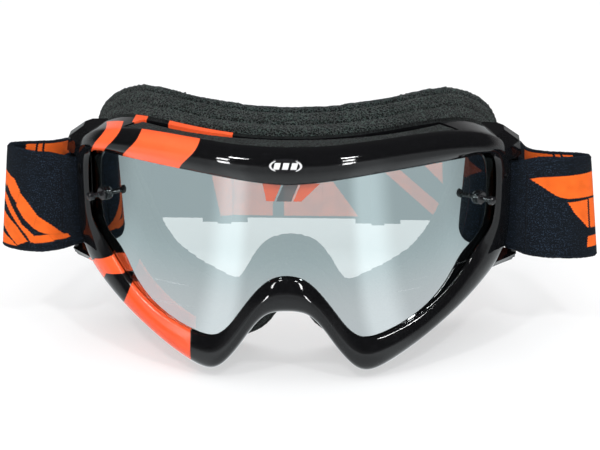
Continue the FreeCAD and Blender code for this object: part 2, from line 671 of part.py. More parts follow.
def vent_foam_lower(side, sx):
    """The plugs in the openings under one lobe."""
    solids = []
    for x_from, x_to, z_from, z_to in LOW_VENTS:
        x0, x1 = sx * (x_from + PLUG_GAP_X), sx * (x_to - PLUG_GAP_X)
        y = low_vent_y(x_from, x_to) + PLUG_GAP_Y
        wire = polygon_wire([Vector(x0, y, z_from), Vector(x1, y, z_to),
                             Vector(x1, y, z_to + PLUG_T), Vector(x0, y, z_from + PLUG_T)])
        depth = LOW_VENT_DEPTH - 2 * PLUG_GAP_Y
        solids.append(Part.Face(wire).extrude(Vector(0, depth, 0)))
    deliver(feature(f"vent_low_{side}", Part.makeCompound(solids)), f"vent_foam_lower_{side}")


vent_foam_top()
for side, sx in SIDES:
    vent_foam_lower(side, sx)

# ---------------------------------------------------------------- strap
# The strap is laid out level, then tilted about the X direction through the middle of the
# strap bars. The sewn loops round the bars stay upright.
TILT = Placement(Vector(0, 0, 0), Rotation(Vector(1, 0, 0), dim("strap_tilt")),
                 Vector(0, dim("bar_y"), dim("strap_z")))
STRAP_PLACE = SHIFT.multiply(TILT)
STRAP_W, STRAP_T, STRAP_Z = dim("strap_w"), dim("strap_t"), dim("strap_z")
STRAP_LOW = STRAP_Z - STRAP_W / 2
REAR_Y, RING_X = dim("rear_y"), dim("ring_x")
RING_WIRE, RING_BAR_OFF = dim("ring_wire"), dim("ring_bar_off")
FOLD_GAP = 0.27                                     # webbing off the ring's wire
FOLD = RING_WIRE / 2 + FOLD_GAP + STRAP_T / 2       # radius of a fold's middle line

# Sewn loop on the right, (x, y) from the strap bar's centre
ANCHOR_OUTER = [
    (5.5, -7.9), (3.1, -6.2), (1.3, -4.6), (-0.5, -3.65), (-2.3, -2.9), (-3.5, -1.1),
    (-3.5, 1.1), (-2.3, 2.9), (-0.2, 3.7), (2.1, 3.0), (3.7, 0.6), (4.9, -2.8), (5.5, -6.2)]
ANCHOR_INNER = [
    (3.1, -3.9), (1.6, -2.4), (0, -2.05), (-1.5, -1.45), (-2.1, 0), (-1.5, 1.45),
    (0, 2.05), (1.6, 1.3), (2.4, -0.6), (3.0, -2.3)]


def half_turn(x, y, deg_from, deg_to, steps=8):
    """Points of a fold's middle line about (x, y)."""
    angles = [math.radians(deg_from + (deg_to - deg_from) * k / steps)
              for k in range(steps + 1)]
    return [(x + FOLD * math.cos(a), y + FOLD * math.sin(a)) for a in angles]


# Middle lines of the right side's webbing in plan, (x, y)
FRONT_PATH = [
    (95.0, -50.8), (97.0, -52.0), (99.5, -53.0), (103.0, -53.8), (107.0, -53.9),
    (111.0, -52.9), (114.8, -50.6), (117.0, -48.2), (117.6, -46.9)]
# back along the side, round the ring's outer bar, with the end turned back inside
SIDE_PATH = [
    (117.75, -46.3), (117.2, -44.2), (115.2, -42.0), (111.5, -40.2), (106.0, -38.7),
    (101.0, -36.8), (97.2, -33.0), (95.0, -27.0), (94.0, -19.0), (93.2, -6.0),
    (91.0, 6.0), (86.8, 16.6), (81.5, 24.2), (76.5, 29.2), (72.8, 31.4),
    *half_turn(RING_X + RING_BAR_OFF, REAR_Y, 90, 270),
    (72.4, 28.35), (75.6, 27.4), (78.2, 25.3), (80.4, 22.6)]
# x of the points in the right half of the rear web's outer layer, and of its inner layer
REAR_OUTER_X = (15, 30, 44, 56)
REAR_INNER_X = (58, 50, 40, dim("tail_x"))


def web_strip(name, label, path):
    """Webbing on edge: its plan path, given thickness, and extruded up."""
    middle = Part.BSplineCurve()
    middle.interpolate(Points=[Vector(x, y, STRAP_LOW) for x, y in path])
    steps = 6 * len(path)
    first, last = middle.FirstParameter, middle.LastParameter
    left, right = [], []
    for k in range(steps + 1):
        u = first + (last - first) * k / steps
        point = middle.value(u)
        along = middle.tangent(u)[0]
        offset = Vector(-along.y, along.x, 0) * (STRAP_T / 2)
        left.append(point + offset)
        right.append(point - offset)

    def side_edges(points):
        curve = Part.BSplineCurve()
        curve.interpolate(Points=points)
        u0, u1 = curve.FirstParameter, curve.LastParameter
        count = max(2, len(path) // 3)
        return [Part.Edge(curve, u0 + (u1 - u0) * k / count, u0 + (u1 - u0) * (k + 1) / count)
                for k in range(count)]

    wire = Part.Wire(side_edges(left) + [Part.makeLine(left[-1], right[-1])]
                     + side_edges(right[::-1]) + [Part.makeLine(right[0], left[0])])
    strip = Part.Face(wire).extrude(Vector(0, 0, STRAP_W))
    deliver(feature(name, strip), label, STRAP_PLACE)


def anchor(side, sx):
    """The sewn loop round a strap bar."""
    def prism(points):
        curve = Part.BSplineCurve()
        curve.interpolate(Points=[
            Vector(sx * (dim("bar_x") + x), dim("bar_y") + y, STRAP_LOW) for x, y in points])
        closing = Part.makeLine(curve.EndPoint, curve.StartPoint)
        return Part.Face(Part.Wire([curve.toShape(), closing])).extrude(Vector(0, 0, STRAP_W))

    loop = prism(ANCHOR_OUTER).cut(prism(ANCHOR_INNER))
    deliver(feature(f"anchor_{side}", loop), f"strap_anchor_{side}")


def rear_web():
    """One length, folded forwards round the inner bar of each ring, its two ends inside."""
    half = [(x, REAR_Y + FOLD) for x in REAR_OUTER_X]
    half += half_turn(RING_X - RING_BAR_OFF, REAR_Y, 90, -90)
    half += [(x, REAR_Y - FOLD) for x in REAR_INNER_X]
    path = [(-x, y) for x, y in reversed(half)] + [(0, REAR_Y + FOLD)] + half
    web_strip("rear_web", "strap_rear_web", path)


for side, sx in SIDES:
    anchor(side, sx)
    for part, path in (("front", FRONT_PATH), ("side", SIDE_PATH)):
        web_strip(f"{part}_{side}", f"strap_{part}_{side}", [(sx * x, y) for x, y in path])
rear_web()

# ---------------------------------------------------------------- rings and adjusters
RING_ROUND_LESS = 0.3       # the wire's rounding is this much less than half its width
ADJ_FACE_GAP = 0.12         # face plate off the web's outer layer
ADJ_BAR_GAP = 0.15          # centre bar off each layer
ADJ_POST_EXTRA = 1.2        # end posts wider than the centre bar, each side


def xz_sketch(body, name, y):
    """A sketch parallel to the body's XZ plane, at that y."""
    sketch = sketch_on(body, name, "XZ_Plane")
    sketch.AttachmentOffset = Placement(Vector(0, 0, -y), Rotation())
    return sketch


def pad_back(body, name, sketch, length):
    """A pad towards +Y; the XZ plane's normal is -Y, so it is reversed."""
    return pad_on(body, name, sketch, length, reverse=True)


def place_on_strap(body, x, label):
    body.Placement = Placement(Vector(x, REAR_Y, STRAP_Z), Rotation())
    deliver(body, label, STRAP_PLACE)


def ring(side, sx):
    """A rectangular wire ring that joins the side length to the rear web."""
    body = doc.addObject("PartDesign::Body", f"ring_{side}")
    tall = dim("ring_in_len")
    outline = xz_sketch(body, f"ring_outline_{side}", -RING_WIRE / 2)
    add_rect(outline, 2 * RING_BAR_OFF + RING_WIRE, tall + 2 * RING_WIRE)
    add_rect(outline, 2 * RING_BAR_OFF - RING_WIRE, tall)
    pad = pad_back(body, f"ring_pad_{side}", outline, "dims.ring_wire")
    doc.recompute()
    rounding = body.newObject("PartDesign::Fillet", f"ring_round_{side}")
    names = []      # all edges of the front and rear faces
    for k, edge in enumerate(pad.Shape.Edges, start=1):
        middle = edge.valueAt((edge.FirstParameter + edge.LastParameter) / 2)
        if abs(abs(middle.y) - RING_WIRE / 2) < 0.01:
            names.append(f"Edge{k}")
    rounding.Base = (pad, names)
    rounding.Radius = RING_WIRE / 2 - RING_ROUND_LESS
    doc.recompute()
    # guards against a fillet that can't be made: the ring is then left square
    if not rounding.isValid() or rounding.Shape.isNull():
        body.removeObject(rounding)
        doc.removeObject(rounding.Name)
        body.Tip = pad
        doc.recompute()
    place_on_strap(body, sx * RING_X, f"strap_ring_{side}")


def adjuster(side, sx):
    """A face plate outside the web, and a centre bar between the web's two layers."""
    body = doc.addObject("PartDesign::Body", f"adjuster_{side}")
    tall, wide = dim("adj_len"), dim("adj_wide")
    rail, bar = dim("adj_rail"), dim("adj_bar")
    face_y = FOLD + STRAP_T / 2 + ADJ_FACE_GAP
    bar_y = -(FOLD - STRAP_T / 2 - ADJ_BAR_GAP)

    plate = xz_sketch(body, f"adjuster_plate_{side}", face_y)
    add_rect(plate, wide, tall)
    add_rect(plate, wide - 2 * rail, tall - 2 * rail)
    pad_back(body, f"adjuster_plate_pad_{side}", plate, "dims.adj_plate_t")

    posts = xz_sketch(body, f"adjuster_posts_{side}", bar_y)
    for sz in (-1, 1):
        add_rect(posts, bar + 2 * ADJ_POST_EXTRA, rail, sz * (tall / 2 - rail / 2))
    pad_back(body, f"adjuster_posts_pad_{side}", posts,
             f"dims.adj_plate_t + {face_y - bar_y:.4f}")

    centre = xz_sketch(body, f"adjuster_bar_{side}", bar_y)
    add_rect(centre, bar, tall - rail)
    pad_back(body, f"adjuster_bar_pad_{side}", centre, f"{-2 * bar_y:.4f}")
    place_on_strap(body, sx * dim("adj_x"), f"adjuster_{side}")


for side, sx in SIDES:
    ring(side, sx)
    adjuster(side, sx)

doc.recompute()

# ---------------------------------------------------------------- check and write
bad = []
for obj in doc.Objects:
    if any(state in ("Invalid", "Error") for state in obj.State):
        bad.append(f"{obj.Name}: {obj.State}")
for obj in FINAL:
    shape = obj.Shape
    if shape.isNull():
        bad.append(f"{obj.Label}: null shape")
    elif not shape.isValid():
        bad.append(f"{obj.Label}: not valid")
    elif not shape.Solids or not all(solid.isClosed() for solid in shape.Solids):
        bad.append(f"{obj.Label}: no closed solid")
if bad:
    raise RuntimeError("not written: " + "; ".join(bad))
for obj in FINAL:
    obj.Shape.exportStep(f"parts/{obj.Label}.step")
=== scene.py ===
"""Looks for a pair of motorcycle goggles: gloss frame with printed stripes, half-mirror lens, open-cell
foam and a woven elastic strap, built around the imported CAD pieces.

The goggles face -y, with z up; "right" is +x and "left" is -x. Lengths are millimetres, and points
are taken about the axis of the lens cylinder, unless a name or comment says otherwise."""
import math
from functools import reduce

import bpy
import bmesh
import numpy as np
from mathutils import Matrix, Vector, noise


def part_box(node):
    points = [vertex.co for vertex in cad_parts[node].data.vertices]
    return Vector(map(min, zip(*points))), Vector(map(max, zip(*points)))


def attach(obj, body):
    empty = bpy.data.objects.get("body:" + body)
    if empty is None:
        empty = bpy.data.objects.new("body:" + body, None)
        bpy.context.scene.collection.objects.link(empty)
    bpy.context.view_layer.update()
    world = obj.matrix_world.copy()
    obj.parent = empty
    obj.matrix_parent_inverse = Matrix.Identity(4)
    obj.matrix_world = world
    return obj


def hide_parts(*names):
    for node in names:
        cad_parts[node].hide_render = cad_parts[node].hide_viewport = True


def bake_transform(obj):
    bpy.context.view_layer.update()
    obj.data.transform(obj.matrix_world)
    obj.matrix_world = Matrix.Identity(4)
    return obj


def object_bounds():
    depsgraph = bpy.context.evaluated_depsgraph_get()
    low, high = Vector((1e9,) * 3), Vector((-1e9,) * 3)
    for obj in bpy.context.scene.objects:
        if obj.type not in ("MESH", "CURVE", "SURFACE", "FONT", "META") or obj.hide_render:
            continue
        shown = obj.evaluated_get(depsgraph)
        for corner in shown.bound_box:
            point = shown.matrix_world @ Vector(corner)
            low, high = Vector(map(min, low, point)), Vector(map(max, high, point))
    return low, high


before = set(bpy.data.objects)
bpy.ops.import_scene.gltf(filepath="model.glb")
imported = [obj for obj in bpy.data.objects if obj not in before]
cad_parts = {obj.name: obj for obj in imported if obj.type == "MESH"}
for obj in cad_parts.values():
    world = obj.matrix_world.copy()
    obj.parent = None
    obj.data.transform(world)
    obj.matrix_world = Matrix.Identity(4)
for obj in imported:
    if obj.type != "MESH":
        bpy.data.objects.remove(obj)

CAD_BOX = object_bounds()
MM = 0.001
LENS_R = 100.0
AXIS_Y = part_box("lens")[0].y * 1000 + LENS_R               # the lens axis in the scene
_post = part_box("tear_off_post_right")
AXIS_Z = (_post[0].z + _post[1].z) * 500 - 6.8
BAR_Y, STRAP_Z = -43.0, -3.5                               # middle of the strap bars
TILT = math.radians(-10.0)                                 # of the strap, about that middle


def to_scene(points):
    """Millimetres about the lens axis to metres in the scene."""
    return (np.asarray(points, float) + np.array([0.0, AXIS_Y, AXIS_Z])) * MM


# ================================================================ mesh helpers
def link_object(name, data):
    ob = bpy.data.objects.new(name, data)
    bpy.context.scene.collection.objects.link(ob)
    return ob


def shade_smooth(mesh):
    mesh.polygons.foreach_set("use_smooth", [True] * len(mesh.polygons))


def new_object(name, verts, faces):
    mesh = bpy.data.meshes.new(name)
    mesh.from_pydata([tuple(v) for v in verts], [], faces)
    mesh.update()
    shade_smooth(mesh)
    return link_object(name, mesh)


def dress(ob, mat):
    ob.data.materials.clear()
    ob.data.materials.append(mat)


def face_outward(mesh):
    bm = bmesh.new()
    bm.from_mesh(mesh)
    bmesh.ops.recalc_face_normals(bm, faces=bm.faces)
    bm.to_mesh(mesh)
    bm.free()
    shade_smooth(mesh)


def apply_modifier(ob, name, kind, **settings):
    modifier = ob.modifiers.new(name, kind)
    for key, value in settings.items():
        setattr(modifier, key, value)
    bpy.context.view_layer.objects.active = ob
    bpy.ops.object.modifier_apply(modifier=name)


def smooth01(t):
    t = np.clip(t, 0, 1)
    return t * t * (3 - 2 * t)


def noise_at(*point):
    return noise.noise(Vector(point))


def curve_through(points, step=0.7):
    """An open centripetal Catmull-Rom curve: points about every 'step', and their lengths along it."""
    def between(a, b, ta, tb, t):
        return (tb - t) / (tb - ta) * a + (t - ta) / (tb - ta) * b

    p = np.asarray(points, float)
    p = np.vstack([2 * p[0] - p[1], p, 2 * p[-1] - p[-2]])
    dense = []
    for i in range(1, len(p) - 2):
        p0, p1, p2, p3 = p[i - 1:i + 3]
        chords = np.linalg.norm(np.diff(p[i - 1:i + 3], axis=0), axis=1)
        t0, t1, t2, t3 = np.concatenate([[0.0], np.cumsum(chords ** 0.5)])
        for t in np.linspace(t1, t2, 24, endpoint=False):
            a1 = between(p0, p1, t0, t1, t)
            a2 = between(p1, p2, t1, t2, t)
            a3 = between(p2, p3, t2, t3, t)
            b1 = between(a1, a2, t0, t2, t)
            b2 = between(a2, a3, t1, t3, t)
            dense.append(between(b1, b2, t1, t2, t))
    dense = np.array(dense + [p[-2]])
    along = np.concatenate([[0], np.cumsum(np.linalg.norm(np.diff(dense, axis=0), axis=1))])
    even = np.linspace(0, along[-1], max(4, int(round(along[-1] / step))) + 1)
    return np.stack([np.interp(even, along, column) for column in dense.T], -1), even


def bspline_grid(poles, steps_u, steps_v):
    """A uniform cubic B-spline surface on a grid of poles, periodic both ways."""
    def refine(grid, steps, axis):
        grid = np.moveaxis(grid, axis, 0)
        rows = []
        for k in range(steps):
            t = k / steps
            w = np.array([(1 - t) ** 3, 3 * t ** 3 - 6 * t ** 2 + 4,
                          -3 * t ** 3 + 3 * t ** 2 + 3 * t + 1, t ** 3]) / 6
            rows.append(w[0] * np.roll(grid, 1, 0) + w[1] * grid
                        + w[2] * np.roll(grid, -1, 0) + w[3] * np.roll(grid, -2, 0))
        out = np.stack(rows, 1).reshape((-1,) + grid.shape[1:])
        return np.moveaxis(out, 0, axis)
    return refine(refine(poles, steps_u, 0), steps_v, 1)


def torus_faces(n, m):
    faces = []
    for i in range(n):
        a, b = i * m, ((i + 1) % n) * m
        for j in range(m):
            k = (j + 1) % m
            faces.append((a + j, b + j, b + k, a + k))
    return faces


# ================================================================ shader helpers
class Value:
    """A node's output. Arithmetic on it adds Math nodes."""

    def __init__(self, graph, socket):
        self.graph, self.socket = graph, socket

    def __add__(self, other): return self.graph.math("ADD", self, other)
    def __radd__(self, other): return self.graph.math("ADD", other, self)
    def __sub__(self, other): return self.graph.math("SUBTRACT", self, other)
    def __rsub__(self, other): return self.graph.math("SUBTRACT", other, self)
    def __mul__(self, other): return self.graph.math("MULTIPLY", self, other)
    def __abs__(self): return self.graph.math("ABSOLUTE", self)

    def ramp(self, over, to=(0.0, 1.0)):
        """A smooth step from to[0] to to[1] as the value goes across 'over'."""
        return self.graph.value("ShaderNodeMapRange", dict(enumerate((self, *over, *to))),
                                interpolation_type="SMOOTHSTEP", clamp=True)

    def band(self, rise, fall):
        """1 between the two slopes, 0 outside."""
        return self.ramp(over=rise) * (1.0 - self.ramp(over=fall))


class Graph:
    """Shorthand for building the node tree of a material or world."""

    def __init__(self, owner):
        self.owner, self.tree = owner, owner.node_tree

    def put(self, socket, v):
        if isinstance(v, Value):
            self.tree.links.new(v.socket, socket)
        elif isinstance(v, tuple) and socket.type == "RGBA":
            socket.default_value = v + (1,)
        else:
            socket.default_value = v

    def node(self, kind, inputs=None, **props):
        n = self.tree.nodes.new(kind)
        for key, v in props.items():
            setattr(n, key, v)
        for key, v in (inputs or {}).items():
            self.put(n.inputs[key], v)
        return n

    def value(self, kind, inputs=None, output=0, **props):
        return Value(self, self.node(kind, inputs, **props).outputs[output])

    def math(self, operation, *args):
        return self.value("ShaderNodeMath", dict(enumerate(args)), operation=operation)

    def hypot(self, a, b):
        return self.math("SQRT", a * a + b * b)

    def any(self, *masks):
        return reduce(lambda a, b: self.math("MAXIMUM", a, b), masks)

    def mix(self, factor, a, b, blend="MIX"):
        return self.value("ShaderNodeMix", {0: factor, 6: a, 7: b}, output=2,
                          data_type="RGBA", blend_type=blend)

    def mix_float(self, factor, a, b):
        return self.value("ShaderNodeMix", {0: factor, 2: a, 3: b}, data_type="FLOAT")

    def mix_shader(self, factor, a, b):
        return self.value("ShaderNodeMixShader", {0: factor, 1: a, 2: b})

    def scale_color(self, color, factor):
        return self.value("ShaderNodeVectorMath", {0: color, 3: factor}, operation="SCALE")

    def object_point(self):
        return self.value("ShaderNodeTexCoord", output="Object")

    def xyz(self, vector):
        n = self.node("ShaderNodeSeparateXYZ", {0: vector})
        return [Value(self, socket) for socket in n.outputs]

    def point(self):
        """The shaded point in millimetres about the lens axis."""
        inputs = {0: self.object_point(), 1: (1000, 1000, 1000), 2: (0, -AXIS_Y, -AXIS_Z)}
        return self.value("ShaderNodeVectorMath", inputs, operation="MULTIPLY_ADD")

    def mapped(self, vector, scale, rotation=(0, 0, 0)):
        return self.value("ShaderNodeMapping", {0: vector, "Rotation": rotation, "Scale": scale})

    def noise(self, vector, scale, detail, rough=0.55):
        inputs = {"Vector": vector, "Scale": scale, "Detail": detail, "Roughness": rough}
        return self.value("ShaderNodeTexNoise", inputs, output="Fac")

    def voronoi(self, vector, scale, feature="F1"):
        inputs = {"Vector": vector, "Scale": scale, "Randomness": 1.0}
        return self.value("ShaderNodeTexVoronoi", inputs, output="Distance", feature=feature)

    def bump(self, height, depth=1.0):
        """A normal from a height; 'depth' is the height's unit in millimetres."""
        inputs = {"Height": height, "Strength": 1.0, "Distance": depth * MM}
        return self.value("ShaderNodeBump", inputs)

    def poly(self, x, y, corners, soft):
        """1 inside a convex polygon, 0 outside, with the edge blurred by 'soft' each way."""
        corners = list(corners)
        edges = list(zip(corners, corners[1:] + corners[:1]))
        if sum(a[0] * b[1] - b[0] * a[1] for a, b in edges) < 0:
            corners.reverse()
            edges = list(zip(corners, corners[1:] + corners[:1]))
        depths = []
        for (x0, y0), (x1, y1) in edges:
            length = math.hypot(x1 - x0, y1 - y0)
            nx, ny = -(y1 - y0) / length, (x1 - x0) / length
            rest = self.math("MULTIPLY_ADD", y, ny, -(nx * x0 + ny * y0))
            depths.append(self.math("MULTIPLY_ADD", x, nx, rest))
        depth = reduce(lambda a, b: self.math("MINIMUM", a, b), depths)
        return depth.ramp(over=(-soft, soft))

    def principled(self, **inputs):
        """Input names are written with _ for a space."""
        return self.value("ShaderNodeBsdfPrincipled",
                          {key.replace("_", " "): v for key, v in inputs.items()})

    def finish(self, shader):
        self.node("ShaderNodeOutputMaterial", {0: shader})
        return self.owner


def material_graph(name):
    mat = bpy.data.materials.new(name)
    mat.use_nodes = True
    mat.node_tree.nodes.clear()
    return Graph(mat)


def srgb(*rgb):
    """An 8-bit sRGB colour as linear light."""
    return tuple((c / 255) / 12.92 if c / 255 <= 0.04045 else ((c / 255 + 0.055) / 1.055) ** 2.4
                 for c in rgb)


def scaled(color, *factors):
    """A colour times one factor, or one per channel; no channel goes above 1."""
    factors = factors * 3 if len(factors) == 1 else factors
    return tuple(min(1.0, c * f) for c, f in zip(color, factors))


# ================================================================ materials
ORANGE = srgb(255, 98, 52)
WEB_ORANGE = srgb(250, 108, 34)
# stripes down the lower left of the frame: x, z of the corners
SIDE_STRIPES = [[(-83.5, -26.9), (-76.2, -31.4), (-72.9, -24.0), (-78.0, -20.4)],
                [(-78.0, -20.5), (-72.9, -24.1), (-62.5, -22.0), (-66.5, -15.0)]]
LOW_STRIPE = [(-66.6, -36.5), (-62.2, -26.0), (-56, -16.5), (-38.0, -30), (-38.0, -62), (-62, -52)]


def frame_stripes(g, point):
    """The mask of the orange print."""
    x, y, z = g.xyz(point)
    radius = g.hypot(x, y)
    wavy_x = x + (g.noise(point, scale=0.9, detail=2) - 0.5) * 0.25
    front = radius.ramp(over=(89.0, 89.6))
    # brow stripes: the ends lean, and bend where the brow rolls over
    lean = (z - 32.0) * 0.62 + g.math("SINE", (z - 32.0) * 0.42) * 0.75
    brow_x = wavy_x - lean
    brow = g.any(brow_x.band(rise=(-73.4, -73.1), fall=(-68.2, -67.9)),
                 brow_x.band(rise=(-60.3, -60.0), fall=(-36.9, -36.6)))
    brow = brow * z.ramp(over=(21.0, 21.4)) * front
    # the same stripes on the rear flange
    flange = g.any(wavy_x.band(rise=(-62.0, -61.7), fall=(-56.6, -56.3)),
                   wavy_x.band(rise=(-47.3, -47.0), fall=(-21.6, -21.3)))
    flange = flange * z.ramp(over=(29.0, 29.4)) * (1.0 - front)
    side = g.any(*[g.poly(wavy_x, z, corners, soft=0.12) for corners in SIDE_STRIPES])
    side = side * radius.ramp(over=(88.5, 89.5))
    low = g.any(side, g.poly(wavy_x, z, LOW_STRIPE, soft=0.15)) * radius.ramp(over=(60, 62))
    return g.any(brow, flange, low)


def frame_material():
    g = material_graph("frame_gloss")
    point = g.point()
    orange = frame_stripes(g, point)
    dust = g.noise(point, scale=0.35, detail=6, rough=0.7).ramp(over=(0.52, 0.75))
    grime = g.noise(point, scale=3.0, detail=4, rough=0.6).ramp(over=(0.60, 0.80))
    black = g.mix(dust, (0.0042, 0.0043, 0.0048), (0.0075, 0.0078, 0.0085))
    uneven = g.noise(point, scale=0.12, detail=2).ramp(over=(0.3, 0.7))
    ink = g.mix(uneven, ORANGE, scaled(ORANGE, 0.93))
    # painted shade: the print darkens and reddens lower down the frame
    ink = g.mix(g.xyz_z.ramp(over=(-12, -34)) if False else painted_low_shade(g, point), ink,
                scaled(ORANGE, 0.80, 0.66, 0.55))
    # a very slight orange peel, the print's thickness, and scuffs that only show in highlights
    peel = g.noise(point, scale=0.8, detail=2, rough=0.4)
    fine = g.noise(point, scale=9.0, detail=2, rough=0.5)
    height = peel * 0.010 + fine * 0.0010 + orange * 0.03
    streaks = g.mapped(point, rotation=(0.3, 0.2, 0.9), scale=(0.05, 3.0, 3.0))
    scuff = g.noise(streaks, scale=1.0, detail=3, rough=0.6).ramp(over=(0.66, 0.72))
    rough = 0.045 + (grime * 0.05 + scuff * 0.10)
    return g.finish(g.principled(
        Base_Color=g.mix(orange, black, ink), Roughness=g.mix_float(orange, rough, rough + 0.16),
        Normal=g.bump(height), IOR=1.42, Coat_Weight=g.mix_float(orange, 0.0, 0.15),
        Coat_Roughness=0.03))


def painted_low_shade(g, point):
    """0 above z -12, rising to 1 at z -34: painted shade that darkens the print towards the bottom of the
    frame.
    """
    return g.xyz(point)[2].ramp(over=(-12, -34))


def plastic_material(name, base, rough, scale):
    g = material_graph(name)
    point = g.point()
    coarse = g.noise(point, scale=scale, detail=5, rough=0.6)
    fine = g.noise(point, scale=scale * 6, detail=3, rough=0.5)
    color = g.mix(coarse.ramp(over=(0.35, 0.75)), base, tuple(c * 1.9 + 0.002 for c in base))
    return g.finish(g.principled(Base_Color=color, Roughness=(rough - 0.06) + coarse * 0.16,
                                 Normal=g.bump(coarse * 0.02 + fine * 0.006)))


def badge_material():
    """Three leaning silver bars between two arcs of an ellipse, on black."""
    g = material_graph("badge_black_silver")
    point = g.point()
    x, _, z = g.xyz(point)
    rise = z - 31.55                                       # from the badge's middle
    bar_x = x - rise * 0.26
    bars = g.any(*[bar_x.band(rise=(c - 1.14, c - 1.06), fall=(c + 1.06, c + 1.14))
                   for c in (-3.2, 0.0, 3.2)])
    silver = bars * (1.0 - abs(rise).ramp(over=(1.22, 1.3)))
    ellipse = g.hypot(x * (1 / 6.5), rise * (1 / 2.7))
    arcs = ellipse.band(rise=(0.80, 0.84), fall=(0.92, 0.96)) * abs(x).ramp(over=(3.6, 4.0))
    silver = g.any(silver, arcs * 0.9)
    worn = g.noise(point, scale=6.0, detail=4, rough=0.6)
    color = g.mix(silver, g.mix(worn, (0.006, 0.006, 0.007), (0.014, 0.014, 0.016)),
                  g.mix(worn, (0.80, 0.80, 0.80), (0.62, 0.62, 0.63)))
    return g.finish(g.principled(Base_Color=color, Roughness=g.mix_float(silver, 0.12, 0.35),
                                 Normal=g.bump(worn * 0.01)))


def mirror_normal(g, point, x):
    """The lens cylinder's normal, rolling away faster towards the sides and slightly wavy."""
    extra = abs(x).ramp(over=(50, 70)) * math.radians(15.0)
    angle = g.math("ARCSINE", x * (1 / LENS_R)) + extra * g.math("SIGN", x)
    angle = angle + (g.noise(point, scale=0.035, detail=1) - 0.5) * 0.012
    normal = g.value("ShaderNodeCombineXYZ", {
        0: g.math("SINE", angle), 1: g.math("COSINE", angle) * -1.0,
        2: (g.noise(point, scale=0.03, detail=1) - 0.5) * 0.010})
    return g.value("ShaderNodeVectorTransform", {0: normal}, vector_type="NORMAL",
                   convert_from="OBJECT", convert_to="WORLD")


def lens_material():
    g = material_graph("lens_half_mirror")
    point = g.point()
    x, y, z = g.xyz(point)
    outer = g.hypot(x, y).ramp(over=(LENS_R - 0.55, LENS_R - 0.45))
    # hairline scratches low on both sides, and specks of dust
    lines = g.mapped(point, rotation=(0, math.radians(-28), 0), scale=(0.02, 0.02, 2.4))
    scratches = (g.noise(lines, scale=1.0, detail=2, rough=0.5).ramp(over=(0.700, 0.708))
                 * (abs(x).ramp(over=(28, 34)) * (1.0 - z.ramp(over=(-22, -14)))))
    specks = ((1.0 - g.voronoi(point, scale=0.16).ramp(over=(0.028, 0.05)))
              * g.noise(point, scale=0.05, detail=1).ramp(over=(0.62, 0.66)))
    marks = g.any(scratches * 0.5, specks * 0.6)
    haze = g.noise(point, scale=0.06, detail=3, rough=0.5)
    tint = g.mix(haze, (0.78, 0.93, 0.955), (0.82, 0.96, 0.97))
    tint = g.mix(z.ramp(over=(-4, -30)), tint, (0.90, 0.945, 0.955))
    glossy = g.value("ShaderNodeBsdfGlossy", {"Color": tint, "Roughness": 0.004 + marks * 0.3,
                                              "Normal": mirror_normal(g, point, x)})
    clear = g.value("ShaderNodeBsdfTransparent", {"Color": (0.78, 0.79, 0.775)})
    # printed mark at the top centre: three plain leaning blocks
    mark_x = x - (z - 18.5) * 0.40
    left, right, middle = [g.poly(mark_x, z, corners, soft=0.08) for corners in (
        [(-10.8, 22.8), (-3.6, 22.8), (-3.6, 15.8), (-6.6, 15.8)],
        [(3.6, 22.8), (10.8, 22.8), (6.6, 15.8), (3.6, 15.8)],
        [(-2.8, 22.8), (2.8, 22.8), (2.8, 15.8), (-2.8, 15.8)])]
    mark = g.any(left, right, middle)
    ink = g.principled(Base_Color=g.mix(middle, srgb(196, 84, 52), srgb(74, 80, 82)),
                       Roughness=0.25)
    dust = g.value("ShaderNodeBsdfDiffuse", {"Color": (0.75, 0.8, 0.82)})
    coat = g.mix_shader(marks * 0.55, g.mix_shader(0.50, clear, glossy), dust)
    coat = g.mix_shader(mark * 0.86, coat, ink)
    inner = g.value("ShaderNodeBsdfTransparent", {"Color": (0.97, 0.98, 0.98)})
    return g.finish(g.mix_shader(outer, inner, coat))


def foam_material(name, dark, light, cell, depth):
    """Open cells of size 'cell': painted shade in the dark pores between struts painted as lit, with a few
    painted glints on bright struts.
    """
    strut_gain = 1.0                                       # more of it lights more struts
    g = material_graph(name)
    point = g.point()
    edge = g.voronoi(point, scale=1.0 / cell, feature="DISTANCE_TO_EDGE")
    coarse = g.noise(point, scale=1.25 / cell, detail=3, rough=0.62)
    fine = g.noise(point, scale=2.6 / cell, detail=2, rough=0.5)
    wall = 1.0 - edge.ramp(over=(0.03, 0.24))
    strut = (wall * 0.16 + (coarse * 0.62 + fine * 0.38)) * strut_gain
    patches = g.noise(point, scale=0.08, detail=2)
    color = g.mix(strut.ramp(over=(0.575, 0.655)), dark, light)
    # painted glints: a few struts painted bright, as if catching the light
    painted_glint = fine.ramp(over=(0.60, 0.70)) * coarse.ramp(over=(0.50, 0.62))
    green = g.mix(g.noise(point, scale=0.5, detail=1).ramp(over=(0.45, 0.55)),
                  (1.0, 1.0, 1.0), (0.88, 1.04, 0.99))
    color = g.mix(painted_glint * 0.85, color, tuple(min(1.0, c * 2.6 + 0.02) for c in light))
    color = g.mix(1.0, color, green, blend="MULTIPLY")
    color = g.scale_color(color, patches.ramp(over=(0.3, 0.7), to=(0.85, 1.12)))
    return g.finish(g.principled(
        Base_Color=color, Roughness=0.95, Normal=g.bump(coarse * 0.6 + fine * 0.5, depth),
        Specular_IOR_Level=0.12, Sheen_Weight=0.06, Sheen_Roughness=0.5))


